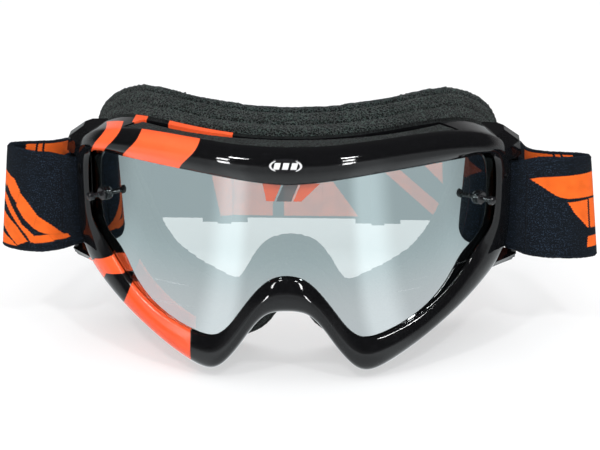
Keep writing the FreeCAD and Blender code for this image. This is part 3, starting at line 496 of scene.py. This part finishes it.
def web_material(name, face_panels, back_panels, mirrored=1.0):
    """Woven elastic: warp cords along u, fine weft across, orange jacquard panels on both sides.
    'mirrored' is how much of the panels shows in reflections."""
    cord_pitch, weft_pitch, tooth_pitch, seam_u = 0.9, 0.62, 0.95, 9.0
    g = material_graph(name)
    uv = g.xyz(g.value("ShaderNodeUVMap", uv_map="web"))
    u, v = uv[0] * 1000.0, uv[1] * 1000.0
    side = g.value("ShaderNodeAttribute", output="Fac", attribute_name="web_side")
    cloth = g.value("ShaderNodeCombineXYZ", {0: u, 1: v, 2: side * 30.0})
    # the panels' edges step with the weave
    tooth = g.math("SINE", v * (2 * math.pi / tooth_pitch)) * 0.16
    fuzz = (g.noise(cloth, scale=1.9, detail=3, rough=0.6) - 0.5) * 0.7
    panel_u = u + (tooth + fuzz)
    panel_v = v + (g.noise(cloth, scale=2.3, detail=3, rough=0.6) - 0.5) * 0.45
    face, back = [g.any(*[g.poly(panel_u, panel_v, corners, soft=0.12) for corners in panels])
                  for panels in (face_panels, back_panels)]
    mask = g.mix_float(side.ramp(over=(0.45, 0.55)), face, back)
    if mirrored < 1.0:
        glossy_ray = g.value("ShaderNodeLightPath", output="Is Glossy Ray")
        mask = mask * g.mix_float(glossy_ray, 1.0, mirrored)
    mask = mask * (1.0 - abs(v).ramp(over=(18.7, 19.0)))
    # every other cord's weft is offset by half a pitch
    cord = g.math("SINE", v * (2 * math.pi / cord_pitch))
    offset = g.math("SIGN", cord) * (math.pi / 2)
    weft = g.math("SINE", u * (2 * math.pi / weft_pitch) + offset)
    height = abs(cord) * 0.6 + (weft * 0.5 + 0.5) * 0.4
    fibre = g.noise(cloth, scale=3.5, detail=4, rough=0.65)
    patches = g.noise(cloth, scale=0.16, detail=2)
    streaks = g.noise(g.mapped(cloth, scale=(0.25, 1.1, 1)), scale=1.0, detail=3, rough=0.6)
    lit = (weft * 0.25 + abs(cord) * 0.45) * 0.8 + fibre * 0.6
    navy = g.mix(lit.ramp(over=(0.15, 1.15)), srgb(2, 5, 9), srgb(12, 24, 34))
    # pale flecks, denser near the strap bar
    flecks = (g.noise(cloth, scale=1.9, detail=2, rough=0.55).ramp(over=(0.50, 0.62))
              * streaks.ramp(over=(0.34, 0.55)))
    near_bar = 1.0 - u.ramp(over=(16, 30))
    navy = g.mix(flecks * (0.20 + near_bar * 0.25), navy, srgb(54, 70, 92))
    orange = g.mix(lit.ramp(over=(0.1, 1.1)), scaled(WEB_ORANGE, 0.80), scaled(WEB_ORANGE, 1.06))
    color = g.mix(mask, navy, orange)
    seam = 1.0 - abs((u + tooth * 0.6) - seam_u).ramp(over=(0.12, 0.42))
    color = g.mix((seam * 0.5) * (1.0 - mask), color, srgb(5, 6, 9))
    height = height - seam * 1.2
    color = g.scale_color(color, patches.ramp(over=(0.25, 0.75), to=(0.88, 1.10)))
    hair = g.noise(cloth, scale=7.0, detail=2, rough=0.6).ramp(over=(0.62, 0.72)) * 0.25
    return g.finish(g.principled(
        Base_Color=color, Roughness=0.88, Normal=g.bump(height + hair, depth=0.16),
        Specular_IOR_Level=0.14, Sheen_Weight=0.04, Sheen_Roughness=0.45,
        Sheen_Tint=(0.55, 0.6, 0.75)))


MAT_FRAME = frame_material()
MAT_LENS = lens_material()
MAT_BADGE = badge_material()
MAT_POST = plastic_material("post_gloss", base=(0.008, 0.008, 0.009), rough=0.10, scale=1.6)
MAT_HARD = plastic_material("hardware_acetal", base=(0.010, 0.010, 0.011), rough=0.30, scale=2.4)
MAT_FOAM = foam_material("face_foam", dark=(0.0005, 0.0008, 0.0008),
                         light=(0.044, 0.053, 0.051), cell=1.0, depth=1.2)
MAT_LINING = foam_material("face_lining", dark=(0.004, 0.0045, 0.005),
                           light=(0.040, 0.048, 0.047), cell=0.95, depth=0.5)
MAT_VENT = foam_material("vent_foam", dark=(0.0008, 0.0010, 0.0010),
                         light=(0.021, 0.026, 0.0255), cell=1.0, depth=1.0)

for mat, parts in (
        (MAT_FRAME, ["frame"]), (MAT_LENS, ["lens"]), (MAT_BADGE, ["brow_badge"]),
        (MAT_POST, ["tear_off_post_right", "tear_off_post_left",
                    "post_washer_right", "post_washer_left"]),
        (MAT_HARD, ["adjuster_right", "adjuster_left", "strap_ring_right", "strap_ring_left"]),
        (MAT_VENT, ["vent_foam_top", "vent_foam_lower_right", "vent_foam_lower_left"])):
    for part in parts:
        dress(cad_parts[part], mat)

# ================================================================ face foam
# Outlines of the foam's right half as x, z, from the top centre round to the bottom centre, with
# matching points: outer and inner edge on the frame's flange, then outer and inner edge at the face.
FLANGE = [(0, 35.4), (9, 35.4), (18, 35.6), (28, 35.9), (38, 36.2), (47.5, 36.4), (56.5, 35.8), (65, 34.3),
          (72, 31.2), (77, 26.9), (80.3, 21.6), (82, 14.5), (82.2, 6), (82.2, -3), (81.6, -12), (80.3, -20),
          (78, -27), (74.5, -33), (70, -37.6), (65, -41.9), (58.5, -45.9), (51.5, -49.0), (44.5, -51.9),
          (38.5, -54.1), (33, -55.4), (28, -55.1), (23.5, -53.0), (19.8, -49), (16.5, -43.6),
          (13.4, -38.5), (10.5, -34), (7.5, -31), (4.5, -29.6), (0, -29.3)]
INNER = [(0, 28.5), (8.5, 28.7), (17, 29.2), (26.5, 30), (36, 30.5), (45, 30.5), (53, 29.8), (60, 27.8),
         (65, 24.5), (68.3, 20.5), (70, 15.5), (70.7, 10), (70.8, 4), (70.5, -2.5), (69.7, -9),
         (68.2, -15.5), (65.8, -21), (62.8, -26), (59, -30.5), (54.8, -34.5), (50, -38), (45, -40.8),
         (40, -43), (35.5, -44.3), (31.5, -44.5), (28, -43.6), (25.2, -41.4), (23, -38.3), (21, -34.6),
         (18.8, -30.8), (16, -27), (12.5, -23.6), (7.5, -21), (0, -20)]
REAR = [(0, 42.0), (9, 42.1), (18, 42.2), (28, 42.8), (38, 43.4), (47.5, 43.8), (56, 43.9), (63, 42.1),
        (71.0, 37.9), (77.8, 32.2), (82.2, 26.0), (84.0, 18.6), (83.4, 9), (82, -2), (81, -12), (79.5, -21),
        (77, -28.5), (73, -35.5), (68.5, -41), (63, -45.8), (56.5, -50), (50, -53.2), (43.5, -55.6),
        (37.5, -57.2), (32, -58), (27, -57.8), (22, -56.6), (18, -55), (14.5, -53), (11.3, -50.8),
        (8.6, -47.8), (6.2, -44), (3.6, -39.5), (0, -36.5)]
FACE_IN = [(0, 28.0), (8.5, 28.2), (17, 28.7), (26.5, 29.4), (36, 29.9), (45, 29.9), (53, 29.2), (60, 27.2),
           (65, 24.2), (68, 20.2), (69.2, 15.2), (68.2, 10), (66.2, 4.6), (63.6, -1), (61, -6),
           (58.8, -10.5), (56.5, -14.5), (54, -18), (51, -21), (47.5, -23.5), (43.5, -25.3), (39, -26.7),
           (34.5, -27.8), (30.5, -28.9), (27, -30), (24, -30.8), (21.3, -30.2), (19.3, -27.4), (17.6, -24),
           (16, -20.6), (14, -17.2), (11.2, -13.8), (7, -10.8), (0, -9)]
BASE_DEPTH, MID_DEPTH, LINING_DEPTH, FACE_DEPTH = 0.6, 8.0, 15.0, 19.0   # behind the flange
LAP = 0.2                                                  # neighbouring layers run into each other
OUTER_CROWN = 0.15


def full(half):
    """Both halves of a right-hand outline."""
    half = np.array(half, float)
    return np.vstack([half, half[-2:0:-1] * [-1, 1]])


def flange_y(x, z):
    """The flange curves back to the sides, and comes forward round the nose."""
    base = -80 + 52 * (np.abs(x) / 82.0) ** 2.1
    return base - 6.0 * np.exp(-((x / 22.0) ** 2)) * smooth01((-10 - z) / 25.0)


def foam_poles(front, back, inner_crown, tuck):
    """Section poles of one foam layer between two depths, with rounded edges and crowned sides."""
    flange, rear, inner_edge, face_in = full(FLANGE), full(REAR), full(INNER), full(FACE_IN)
    inward = inner_edge - flange
    inward /= np.linalg.norm(inward, axis=1)[:, None]
    y_outer, y_inner = flange_y(*flange.T), flange_y(*inner_edge.T)
    y_inner = np.maximum(y_inner, 0.75 * y_inner + 0.25 * y_outer)

    def outer(depth, push):
        t = depth / FACE_DEPTH
        q = flange + (rear - flange) * (smooth01(t) * 0.55 + t * 0.45) - inward * push
        return np.stack([q[:, 0], y_outer + depth, q[:, 1]], -1)

    def inner(depth, push):
        t = depth / FACE_DEPTH
        w = smooth01(t) * 0.4 + t * 0.6
        q = (inner_edge - inward * 0.6) * (1 - w) + face_in * w + inward * push
        return np.stack([q[:, 0], y_inner + depth, q[:, 1]], -1)

    def wall(surface, crown):
        stations = ((0.02, -tuck * 0.3), (0.14, crown * 0.7), (0.5, crown * 1.3),
                    (0.86, crown * 0.7), (0.98, -tuck * 0.3))
        return [surface(front + (back - front) * part, push) for part, push in stations]

    def across(depth, *parts):
        a, b = outer(depth, -tuck), inner(depth, -tuck)
        return [a * (1 - t) + b * t for t in parts]

    return np.stack(across(front, 0.06) + wall(outer, OUTER_CROWN)
                    + across(back, 0.06, 0.30, 0.5, 0.70, 0.94) + wall(inner, inner_crown)[::-1]
                    + across(front, 0.94, 0.70, 0.5, 0.30), 1)


def puffed(poles):
    """The soft form a foam layer takes: its skin as cloth under slight pressure, at ten times size."""
    enlarge, voxel, frames, max_move = 10.0, 1.15, 20, 0.55
    grid = bspline_grid(poles, 3, 2)
    ob = new_object("sim_tmp", to_scene(grid.reshape(-1, 3)) * enlarge,
                    torus_faces(*grid.shape[:2]))
    bpy.context.view_layer.objects.active = ob
    for other in bpy.context.selected_objects:
        other.select_set(False)
    ob.select_set(True)
    apply_modifier(ob, "r", "REMESH", mode="VOXEL", voxel_size=voxel * MM * enlarge)
    start = np.array([v.co for v in ob.data.vertices], float)
    cloth = ob.modifiers.new("c", "CLOTH")
    settings = cloth.settings
    settings.quality = 5
    settings.mass = 0.3
    settings.tension_stiffness = settings.compression_stiffness = 15
    settings.bending_stiffness = 0.5
    settings.use_pressure = True
    settings.uniform_pressure_force = 4.0
    settings.effector_weights.gravity = 0
    cloth.collision_settings.use_collision = False
    cloth.point_cache.frame_start, cloth.point_cache.frame_end = 1, frames
    scene = bpy.context.scene
    scene.frame_start, scene.frame_end = 1, frames
    for f in range(1, frames + 1):
        scene.frame_set(f)
    evaluated = ob.evaluated_get(bpy.context.evaluated_depsgraph_get())
    end = np.array([v.co for v in evaluated.to_mesh().vertices], float)
    evaluated.to_mesh_clear()
    ob.modifiers.remove(cloth)
    scene.frame_set(1)
    move = end - start
    length = np.linalg.norm(move, axis=1)[:, None]
    move *= np.minimum(1.0, max_move * MM * enlarge / np.maximum(length, 1e-9))
    ob.data.vertices.foreach_set("co", ((start + move) / enlarge).ravel())
    ob.data.update()
    return ob


def grain(ob, height, size, seed, pit):
    """Open-cell surface: points move along their normals by fine noise, so the outline is rough."""
    mesh = ob.data
    co = np.zeros(len(mesh.vertices) * 3)
    mesh.vertices.foreach_get("co", co)
    co = co.reshape(-1, 3)
    normals = np.array([v.normal for v in mesh.vertices])
    offset = Vector((seed * 13.7, seed * 7.1, seed * 3.3))
    k = 1.0 / (size * MM)
    rise = np.array([noise.noise(Vector(c) * k + offset)
                     + 0.5 * noise.noise(Vector(c) * (k * 2.1) + offset) for c in co])
    pits = np.array([noise.noise(Vector(c) * (k * 0.6) - offset) for c in co])
    rise -= pit * np.maximum(0, pits - 0.2)
    co += normals * (rise * height * MM)[:, None]
    mesh.vertices.foreach_set("co", co.ravel())
    mesh.update()


def foam_layer(node, front, back, mat, inner_crown, tuck, seed, grain_height, grain_size):
    name = node + "_soft"
    poles = foam_poles(front, back, inner_crown, tuck)
    ob = puffed(poles)
    apply_modifier(ob, "s", "SUBSURF", levels=1, render_levels=1)
    ob.name = ob.data.name = name
    face_outward(ob.data)
    grain(ob, grain_height, grain_size, seed, pit=0.6)
    dress(ob, mat)
    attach(ob, "goggle")
    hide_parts(node)
    return ob


base_foam = foam_layer("face_foam_base", BASE_DEPTH, MID_DEPTH + LAP, MAT_FOAM, inner_crown=0.2,
                       tuck=0.14, seed=1, grain_height=0.26, grain_size=0.95)
mid_foam = foam_layer("face_foam_mid", MID_DEPTH - LAP, LINING_DEPTH + LAP, MAT_FOAM,
                      inner_crown=0.2, tuck=0.14, seed=2, grain_height=0.26, grain_size=0.95)
lining = foam_layer("face_foam_lining", LINING_DEPTH, FACE_DEPTH, MAT_LINING, inner_crown=0.3,
                    tuck=0.2, seed=3, grain_height=0.16, grain_size=0.9)


def vent_strip():
    """The foam laid in the brow's recess: crowned, rough, its ends and edges rounded."""
    n_along, n_across = 420, 26
    half_angle = 42.85                                     # degrees about the lens axis
    inner_r, width, floor_top = 84.9, 10.2, 33.45
    edge_height, crown_height, edge_round, end_round = 0.55, 1.55, 1.5, 0.8
    angles = [-half_angle + 2 * half_angle * i / n_along for i in range(n_along + 1)]

    def at(angle, r, z):
        theta = math.radians(angle)
        return (r * math.sin(theta), -r * math.cos(theta), z)

    verts = []
    for a in angles:
        end = smooth01((half_angle - abs(a)) / end_round)
        for j in range(n_across + 1):
            t = j / n_across
            inset = min(t, 1 - t) * width
            crown = math.sqrt(max(0.0, 1 - (1 - min(inset / edge_round, 1.0)) ** 2))
            height = (edge_height + crown_height * crown) * (0.35 + 0.65 * end)
            verts.append(at(a, inner_r + width * t, floor_top + height))
    under = len(verts)
    verts += [at(a, r, floor_top) for a in angles for r in (inner_r, inner_r + width)]
    faces = []
    m = n_across + 1
    for i in range(n_along):
        a, b = i * m, (i + 1) * m
        faces += [(a + j, b + j, b + j + 1, a + j + 1) for j in range(n_across)]
        c, d = under + 2 * i, under + 2 * (i + 1)
        faces += [(a, c, d, b), (a + n_across, b + n_across, d + 1, c + 1), (c, c + 1, d + 1, d)]
    last = under + 2 * n_along
    faces.append((*range(m), under + 1, under))
    faces.append((*[n_along * m + j for j in range(n_across, -1, -1)], last, last + 1))
    ob = new_object("vent_foam_top_soft", to_scene(verts), faces)
    dress(ob, MAT_VENT)
    face_outward(ob.data)
    grain(ob, height=0.14, size=0.9, seed=5, pit=0.5)
    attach(ob, "goggle")
    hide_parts("vent_foam_top")


vent_strip()

# ================================================================ strap
STRAP_T = 1.6
HALF_W = 20.0
FOLD_R = 1.37 + STRAP_T / 2                                # of the cloth's middle, round a ring bar
RING_X, RING_OFF, REAR_Y = 66.0, 3.4, 30.0                 # a ring, and its two bars at +-RING_OFF
REAR_BAR_X = RING_X - RING_OFF


def ring_fold(bar_x, start, end):
    """A half turn round a ring bar, in degrees, drawn out along x."""
    angles = [math.radians(start + (end - start) * k / 8) for k in range(9)]
    return [(bar_x + 1.25 * FOLD_R * math.cos(a), REAR_Y + FOLD_R * math.sin(a)) for a in angles]


# Paths in plan (x, y) of the right side: round the strap bar and out to the widest point,
NEAR = [(93.9, -46.4), (92.8, -44.4), (91.8, -42.4), (90.4, -40.6), (88.4, -39.95), (86.5, -40.9),
        (85.72, -43.0), (86.5, -44.95), (88.3, -45.85), (90.3, -47.1), (92.2, -48.7), (94.3, -50.3),
        (97.0, -52.0), (99.8, -53.1), (103.0, -53.8), (107.0, -53.9), (111.0, -52.9),
        (114.8, -50.6), (117.0, -48.2), (117.72, -46.6)]
# then back along the head, round the ring and doubled forward.
FAR = [(117.72, -46.6), (117.2, -44.2), (115.2, -42.0), (111.5, -40.2), (106.0, -38.7),
       (101.0, -36.8), (97.2, -33.0), (95.0, -27.0), (94.0, -19.0), (93.2, -6.0), (91.0, 6.0),
       (86.8, 16.6), (81.5, 24.2), (76.5, 29.2), (72.8, 31.5),
       *ring_fold(RING_X + RING_OFF, 90, 270), (72.4, 28.2), (75.6, 27.2), (78.2, 25.1), (80.4, 22.4)]


def nearest(path, point):
    return int(np.argmin(np.hypot(*(path - point).T)))


def ribbon(name, path, along, sx, low, high, angle, mat, flip, seed, thick=STRAP_T, lean=(0.0, 0.0)):
    """A woven length with thickness: its path in plan, its lower and upper edge height, its tilt,
    and how far the lower and upper edge stand out; 'along' gives u. Its face (web_side 0) is on the
    left of the path, or on the right if flip. sx -1 mirrors it to the left side."""
    n, n_across = len(path), 44
    tangent = np.gradient(path, axis=0)
    tangent /= np.linalg.norm(tangent, axis=1)[:, None]
    normal = np.stack([-tangent[:, 1], tangent[:, 0]], -1) * (-1 if flip else 1)
    across = np.linspace(-1, 1, n_across + 1)
    inset = (1.0 - np.abs(across)) * HALF_W
    rounding = 1 - np.clip(inset / (thick * 0.55), 0, 1)
    half = np.sqrt(np.clip(1 - rounding ** 2, 0.02, 1)) * thick / 2
    half = half - 0.10 * np.exp(-((inset - 2.1) / 0.35) ** 2) * (inset < 4)    # line by the selvedge
    half = half + 0.05 * np.exp(-((inset - 1.0) / 0.6) ** 2)
    # the section, round both sides: v across, h through the thickness
    v = np.concatenate([across, across[::-1]])
    h = np.concatenate([half, -half[::-1]])
    web_side = np.repeat([0.0, 1.0], n_across + 1)
    m = len(v)
    low, high, angle, lean_low, lean_high = [
        np.reshape(a, (-1, 1)) for a in (low, high, angle, *lean)]
    x = path[:, :1] + normal[:, :1] * h + lean_low * (1 - v) / 2 + lean_high * (1 + v) / 2
    y = path[:, 1:] + normal[:, 1:] * h - BAR_Y
    z = (low + high) / 2 + v * (high - low) / 2 - STRAP_Z
    cos, sin = np.cos(angle), np.sin(angle)
    verts = np.stack([x * sx, BAR_Y + y * cos - z * sin, STRAP_Z + y * sin + z * cos], -1)
    # the cloth never lies quite even, and its edges fray a little
    for i, s in enumerate(along):
        verts[i, :, 2] += 0.05 * noise_at(s * 0.045 + seed, 0.0, 3.1)
        for edge in (1, -1):
            fray = (0.16 * noise_at(s * 1.1 + seed * 5, 7.0 * edge, 0.3)
                    + 0.08 * noise_at(s * 2.9 + seed, 3.0 * edge, 1.3))
            verts[i, v * edge > 0.93, 2] += fray
    faces = []
    for a in range(0, (n - 1) * m, m):
        for j in range(m):
            k = (j + 1) % m
            faces.append((a + j, a + k, a + m + k, a + m + j))
    faces.append(tuple(range(m - 1, -1, -1)))
    faces.append(tuple((n - 1) * m + j for j in range(m)))
    ob = new_object(name, to_scene(verts.reshape(-1, 3)), faces)
    mesh = ob.data
    dress(ob, mat)
    uv = np.stack([np.repeat(along, m), np.tile(v * HALF_W, n)], -1) * MM
    corners = np.zeros(len(mesh.loops), np.int32)
    mesh.loops.foreach_get("vertex_index", corners)
    layer = mesh.uv_layers.new(name="web")
    layer.data.foreach_set("uv", uv.astype(np.float32)[corners].ravel())
    attribute = mesh.attributes.new("web_side", "FLOAT", "POINT")
    attribute.data.foreach_set("value", np.tile(web_side.astype(np.float32), n))
    face_outward(mesh)
    return ob


def blend(ob, first, second, start, end):
    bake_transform(ob)


# Jacquard panels as u, v corners. u: along the length from where the strap leaves the bar, or from
# the middle of the rear web; v: up from its middle.
SIDE_PANELS = [[(58, 10), (66, 10), (78, -10), (70, -10)], [(72, 10), (94, 10), (106, -10), (84, -10)],
               [(100, 10), (106, 10), (118, -10), (112, -10)]]
LEFT_FACE = [
    [(27.3, 3.5), (30.1, 7.5), (33.5, 8.8), (35, 4), (31.5, 1.0), (28.7, -2.5)],
    [(33, 8.8), (46, 14.5), (46, 10), (34.6, 3.8)],
    [(27.3, 3.5), (23.8, -0.5), (19.6, -4.5), (21.0, -10.5), (25.2, -7.0), (28.7, -2.5)],
    [(19.6, -4.5), (14.0, -9.0), (7.0, -13.5), (14.7, -13.0), (18.2, -12.0), (21.0, -10.5)],
    [(7.0, -13.5), (5.6, -15.5), (7.7, -15.5), (12.6, -16.0), (14.7, -13.0)],
    [(14.7, -13.0), (12.6, -16.0), (20.3, -16.5), (21.7, -16.0), (20.3, -13.5)],
    [(20.3, -13.5), (21.7, -16.5), (23.8, -13.5), (26.6, -8.5), (23.1, -11.5)],
    [(35.7, -1.5), (33.6, 0.0), (26.6, -8.5), (23.8, -13.5), (31.5, -6.0)],
    [(33.6, 0), (46, 9), (46, 6.5), (35.2, -2)],
    [(39, -3.8), (28.0, -10.6), (23.1, -16.0), (27.3, -18.0), (39, -9.0)],
    [(39, -12.8), (30.1, -16.5), (27.3, -18.4), (39, -18.4)], *SIDE_PANELS]
RIGHT_FACE = [
    [(10.5, 11.5), (45, 14.3), (45, 4.6), (23.8, 3.6), (20.3, 4.5)],
    [(22.4, 2.0), (32.0, 3.0), (31.8, -8.0), (30.6, -8.2), (28.6, -6.9), (25.9, -2.0)],
    [(32.9, 3.2), (45, 3.8), (45, -8.5), (32.7, -8.2)],
    [(31.2, -11.5), (39, -11.2), (38, -15.5), (30.4, -15.8)], *SIDE_PANELS]
SIDE_BACK = [[(46, 20), (50.2, 20), (46.2, -20), (42, -20)], [(51.2, 20), (53.2, 20), (49.2, -20), (47.2, -20)],
             [(54.2, 20), (71, 20), (67, -20), (50.2, -20)], [(96, 18), (124, 18), (112, -18), (84, -18)]]
REAR_FACE = [[(c - 4, 9), (c + 4, 9), (c - 4, -9), (c - 12, -9)] for c in (-44, 52)]
REAR_FACE += [[(-26, 9), (34, 9), (22, -9), (-38, -9)]]
REAR_BACK = [[(-40, 19), (-39.3, -1), (-35.5, -19.5), (-12.6, -19.5), (-12.6, 19)],
             [(-7.6, 19), (-7.6, -19.5), (26, -19.5), (12, -1), (-3, 19)],
             [(20.5, 15.5), (28, 15.5), (45.6, 0.6), (62.7, -13.5), (62.7, -17), (60.5, -19.4), (37.7, 0.5)],
             [(40, 18.5), (61.4, 18.5), (62.3, -4), (53.5, 5.2)]]
SIDES = (("right", 1), ("left", -1))


def side_straps():
    """On each side: the near length round the bar, and the far length back to the ring."""
    mats = {"left": web_material("web_left", LEFT_FACE, SIDE_BACK, mirrored=0.5),
            "right": web_material("web_right", RIGHT_FACE, SIDE_BACK, mirrored=0.12)}
    path, along = curve_through(NEAR + FAR[1:])
    widest = nearest(path, NEAR[-1])
    along = along - along[nearest(path[:60], (86.6, -45.0))]   # 0 where the face leaves the bar
    # gathered at the bar, full width a little way out
    spread = smooth01((along + 2) / 20.0)
    angle = TILT * smooth01((along - 1) / 14.0)
    lean = smooth01((along - 10) / 16.0) * (1 - smooth01((along - 46) / 26.0))
    lift = smooth01((along - 16) / 24.0) * (1 - smooth01((along - 62) / 36.0))
    for side, sx in SIDES:
        low = STRAP_Z - (18.8 + 1.8 * spread)
        high = STRAP_Z + (18.6 + 1.7 * spread)
        # the right one's lower edge stands out; the left one's top leans in, and it sits higher
        if sx > 0:
            leans = (4.0 * lean, 0.4 * lean)
        else:
            leans = (0.0 * lean, -2.8 * lean)
            low = low + 1.4 * lift
            high = high + 2.4 * lift

        def length(name, part):
            return ribbon(f"{name}_{side}", path[part], along[part], sx, low[part], high[part],
                          angle[part], mats[side], flip=True, seed=1 + sx,
                          lean=(leans[0][part], leans[1][part]))

        ob = length("web_near", slice(0, widest + 1))
        blend(ob, "goggle", "strap", start=[sx * 90.0, -48, 0], end=[sx * 99.0, -48, 0])
        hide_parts(f"strap_anchor_{side}", f"strap_front_{side}")
        ob = length("web_side", slice(widest, len(along)))
        blend(ob, "strap", "strap_rear", start=[sx * 100.0, -46, 0], end=[sx * 100.0, 14, -10.6])
        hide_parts(f"strap_side_{side}")


def rear_strap():
    """The rear web between the rings, and its two folded ends."""
    mat = web_material("web_rear", REAR_FACE, REAR_BACK)
    fold = ring_fold(REAR_BAR_X, 90, -90)
    points = [(-x, y) for x, y in reversed(fold)]
    points += [(x, REAR_Y + FOLD_R) for x in (-52, -40, -26, -13, 0, 13, 26, 40, 52)]
    path, along = curve_through(points + fold)
    ob = ribbon("web_rear", path, along - along[-1] / 2, 1, STRAP_Z - 20.4, STRAP_Z + 20.2, TILT,
                mat, flip=False, seed=7)
    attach(ob, "strap_rear")
    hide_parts("strap_rear_web")
    front_y = REAR_Y - FOLD_R
    path, _ = curve_through([
        (REAR_BAR_X, front_y), (56, front_y - 0.05), (48, front_y), (41, front_y), (37.0, front_y),
        (35.2, REAR_Y - 2.05), (33.2, REAR_Y - 1.95), (31.6, REAR_Y - 1.2), (31.1, REAR_Y - 0.1)])
    for side, sx in SIDES:
        ob = ribbon(f"web_tail_{side}", path, sx * path[:, 0], sx, STRAP_Z - HALF_W,
                    STRAP_Z + HALF_W, TILT, mat, flip=True, seed=9, thick=1.5)
        blend(ob, "strap_rear", f"adjuster_{side}", start=[sx * 60.0, 30, 0],
              end=[sx * 38.0, 30, 0])


side_straps()
rear_strap()


# ================================================================ stage, light, camera (metres)
def floor_material():
    g = material_graph("pale_floor")
    point = g.object_point()
    x, y, _ = g.xyz(point)
    color = g.mix(g.noise(point, scale=3.0, detail=3), (0.86, 0.865, 0.87), (0.90, 0.905, 0.91))
    matt = g.principled(Base_Color=color, Roughness=0.9, Specular_IOR_Level=0.1)
    lift = g.value("ShaderNodeEmission", {"Color": (0.99, 0.995, 1.0), "Strength": 1.0})
    rays = g.node("ShaderNodeLightPath").outputs
    seen = g.mix_shader(Value(g, rays["Is Camera Ray"]) * 0.55, matt, lift)
    # what glossy rays see of the floor: a glowing grey sheet, painted brighter close to the goggles and dimmer
    # behind them, with two strips of light across it, as painted reflections
    azimuth = g.math("ARCTAN2", x, (y - AXIS_Y * MM) * -1.0) * (180.0 / math.pi)
    strips = g.any(azimuth.band(rise=(-33, -24), fall=(-21, -15)),
                   azimuth.band(rise=(21, 27), fall=(31, 41)))
    behind = abs(azimuth).ramp(over=(70, 120), to=(1.0, 0.55))
    radius = g.math("SQRT", x * x + g.math("POWER", y - AXIS_Y * MM, 2.0))
    close = radius.ramp(over=(0.26, 0.15), to=(0.0, 0.30))
    glow = ((0.80 + close) + strips * 0.42) * behind
    sheet = g.value("ShaderNodeEmission", {"Color": (0.93, 0.98, 1.0), "Strength": glow})
    return g.finish(g.mix_shader(Value(g, rays["Is Glossy Ray"]), seen, sheet))


def build_floor():
    half = 6
    z = min(corner[2] for corner in CAD_BOX) - 0.0004
    mesh = bpy.data.meshes.new("floor")
    mesh.from_pydata([(-half, -half, z), (half, -half, z), (half, half, z), (-half, half, z)],
                     [], [(0, 1, 2, 3)])
    mesh.materials.append(floor_material())
    link_object("floor", mesh)


def build_world():
    """Glossy rays see a studio that darkens upwards, the camera plain white, others an even grey."""
    world = bpy.data.worlds.new("studio")
    bpy.context.scene.world = world
    world.use_nodes = True
    g = Graph(world)
    height = g.xyz(g.value("ShaderNodeTexCoord", output="Generated"))[2]
    studio = height.ramp(over=(-0.02, 0.26), to=(0.40, 0.03))
    rays = g.node("ShaderNodeLightPath").outputs
    strength = g.mix_float(Value(g, rays["Is Glossy Ray"]), 0.46, studio)
    strength = g.mix_float(Value(g, rays["Is Camera Ray"]), strength, 1.0)
    background = g.tree.nodes["Background"].inputs
    g.put(background["Strength"], strength)
    g.put(background["Color"], (0.985, 0.99, 1.0))


def area(name, place, size, energy, glossy=True, diffuse=True):
    """A rectangular light aimed at the goggles."""
    light = bpy.data.lights.new(name, "AREA")
    light.shape = "RECTANGLE"
    light.size, light.size_y = size
    light.energy = energy
    ob = link_object(name, light)
    ob.location = place
    aim = Vector(tuple(to_scene([0, -50, -5]))) - Vector(place)
    ob.rotation_euler = aim.to_track_quat("-Z", "Y").to_euler()
    ob.visible_glossy = glossy
    ob.visible_diffuse = diffuse


def build_lights():
    area("top_fill", (0.0, 0.1, 1.5), size=(2.2, 2.2), energy=24.0, glossy=False)
    area("front_fill", (0.0, -1.6, 0.9), size=(1.2, 1.2), energy=9.0, glossy=False)
    for level, z in (("low", 0.08), ("high", 0.66)):       # strips seen only in reflections
        for side, x, y in (("left", -0.62, -1.15), ("right", 0.50, -1.20)):
            area(f"strip_{side}_{level}", (x, y, z), size=(0.10, 0.30), energy=3.6, diffuse=False)
    for side, x in (("left", -0.35), ("right", 0.35)):
        area(f"key_high_{side}", (x, -0.75, 0.95), size=(0.10, 0.10), energy=3.5)


def build_camera():
    azimuth, elevation, roll = math.radians(2.5), math.radians(20.0), math.radians(0.2)
    distance = 0.8
    target = Vector(tuple(to_scene([2.8, -50.0, -11.7])))
    back = Vector((math.sin(azimuth) * math.cos(elevation),
                   -math.cos(azimuth) * math.cos(elevation), math.sin(elevation)))
    level = Vector((math.cos(azimuth), math.sin(azimuth), 0))
    right = level * math.cos(roll) - back.cross(level) * math.sin(roll)
    camera = bpy.data.cameras.new("camera")
    camera.sensor_width = 36.0
    camera.lens = 119.04
    camera.clip_start, camera.clip_end = 0.05, 50
    ob = link_object("camera", camera)
    axes = Matrix((right, back.cross(right), back)).transposed().to_4x4()
    ob.matrix_world = Matrix.Translation(target + back * distance) @ axes
    bpy.context.scene.camera = ob


build_floor()
build_world()
build_lights()
build_camera()
bpy.context.scene.view_settings.view_transform = "Standard"
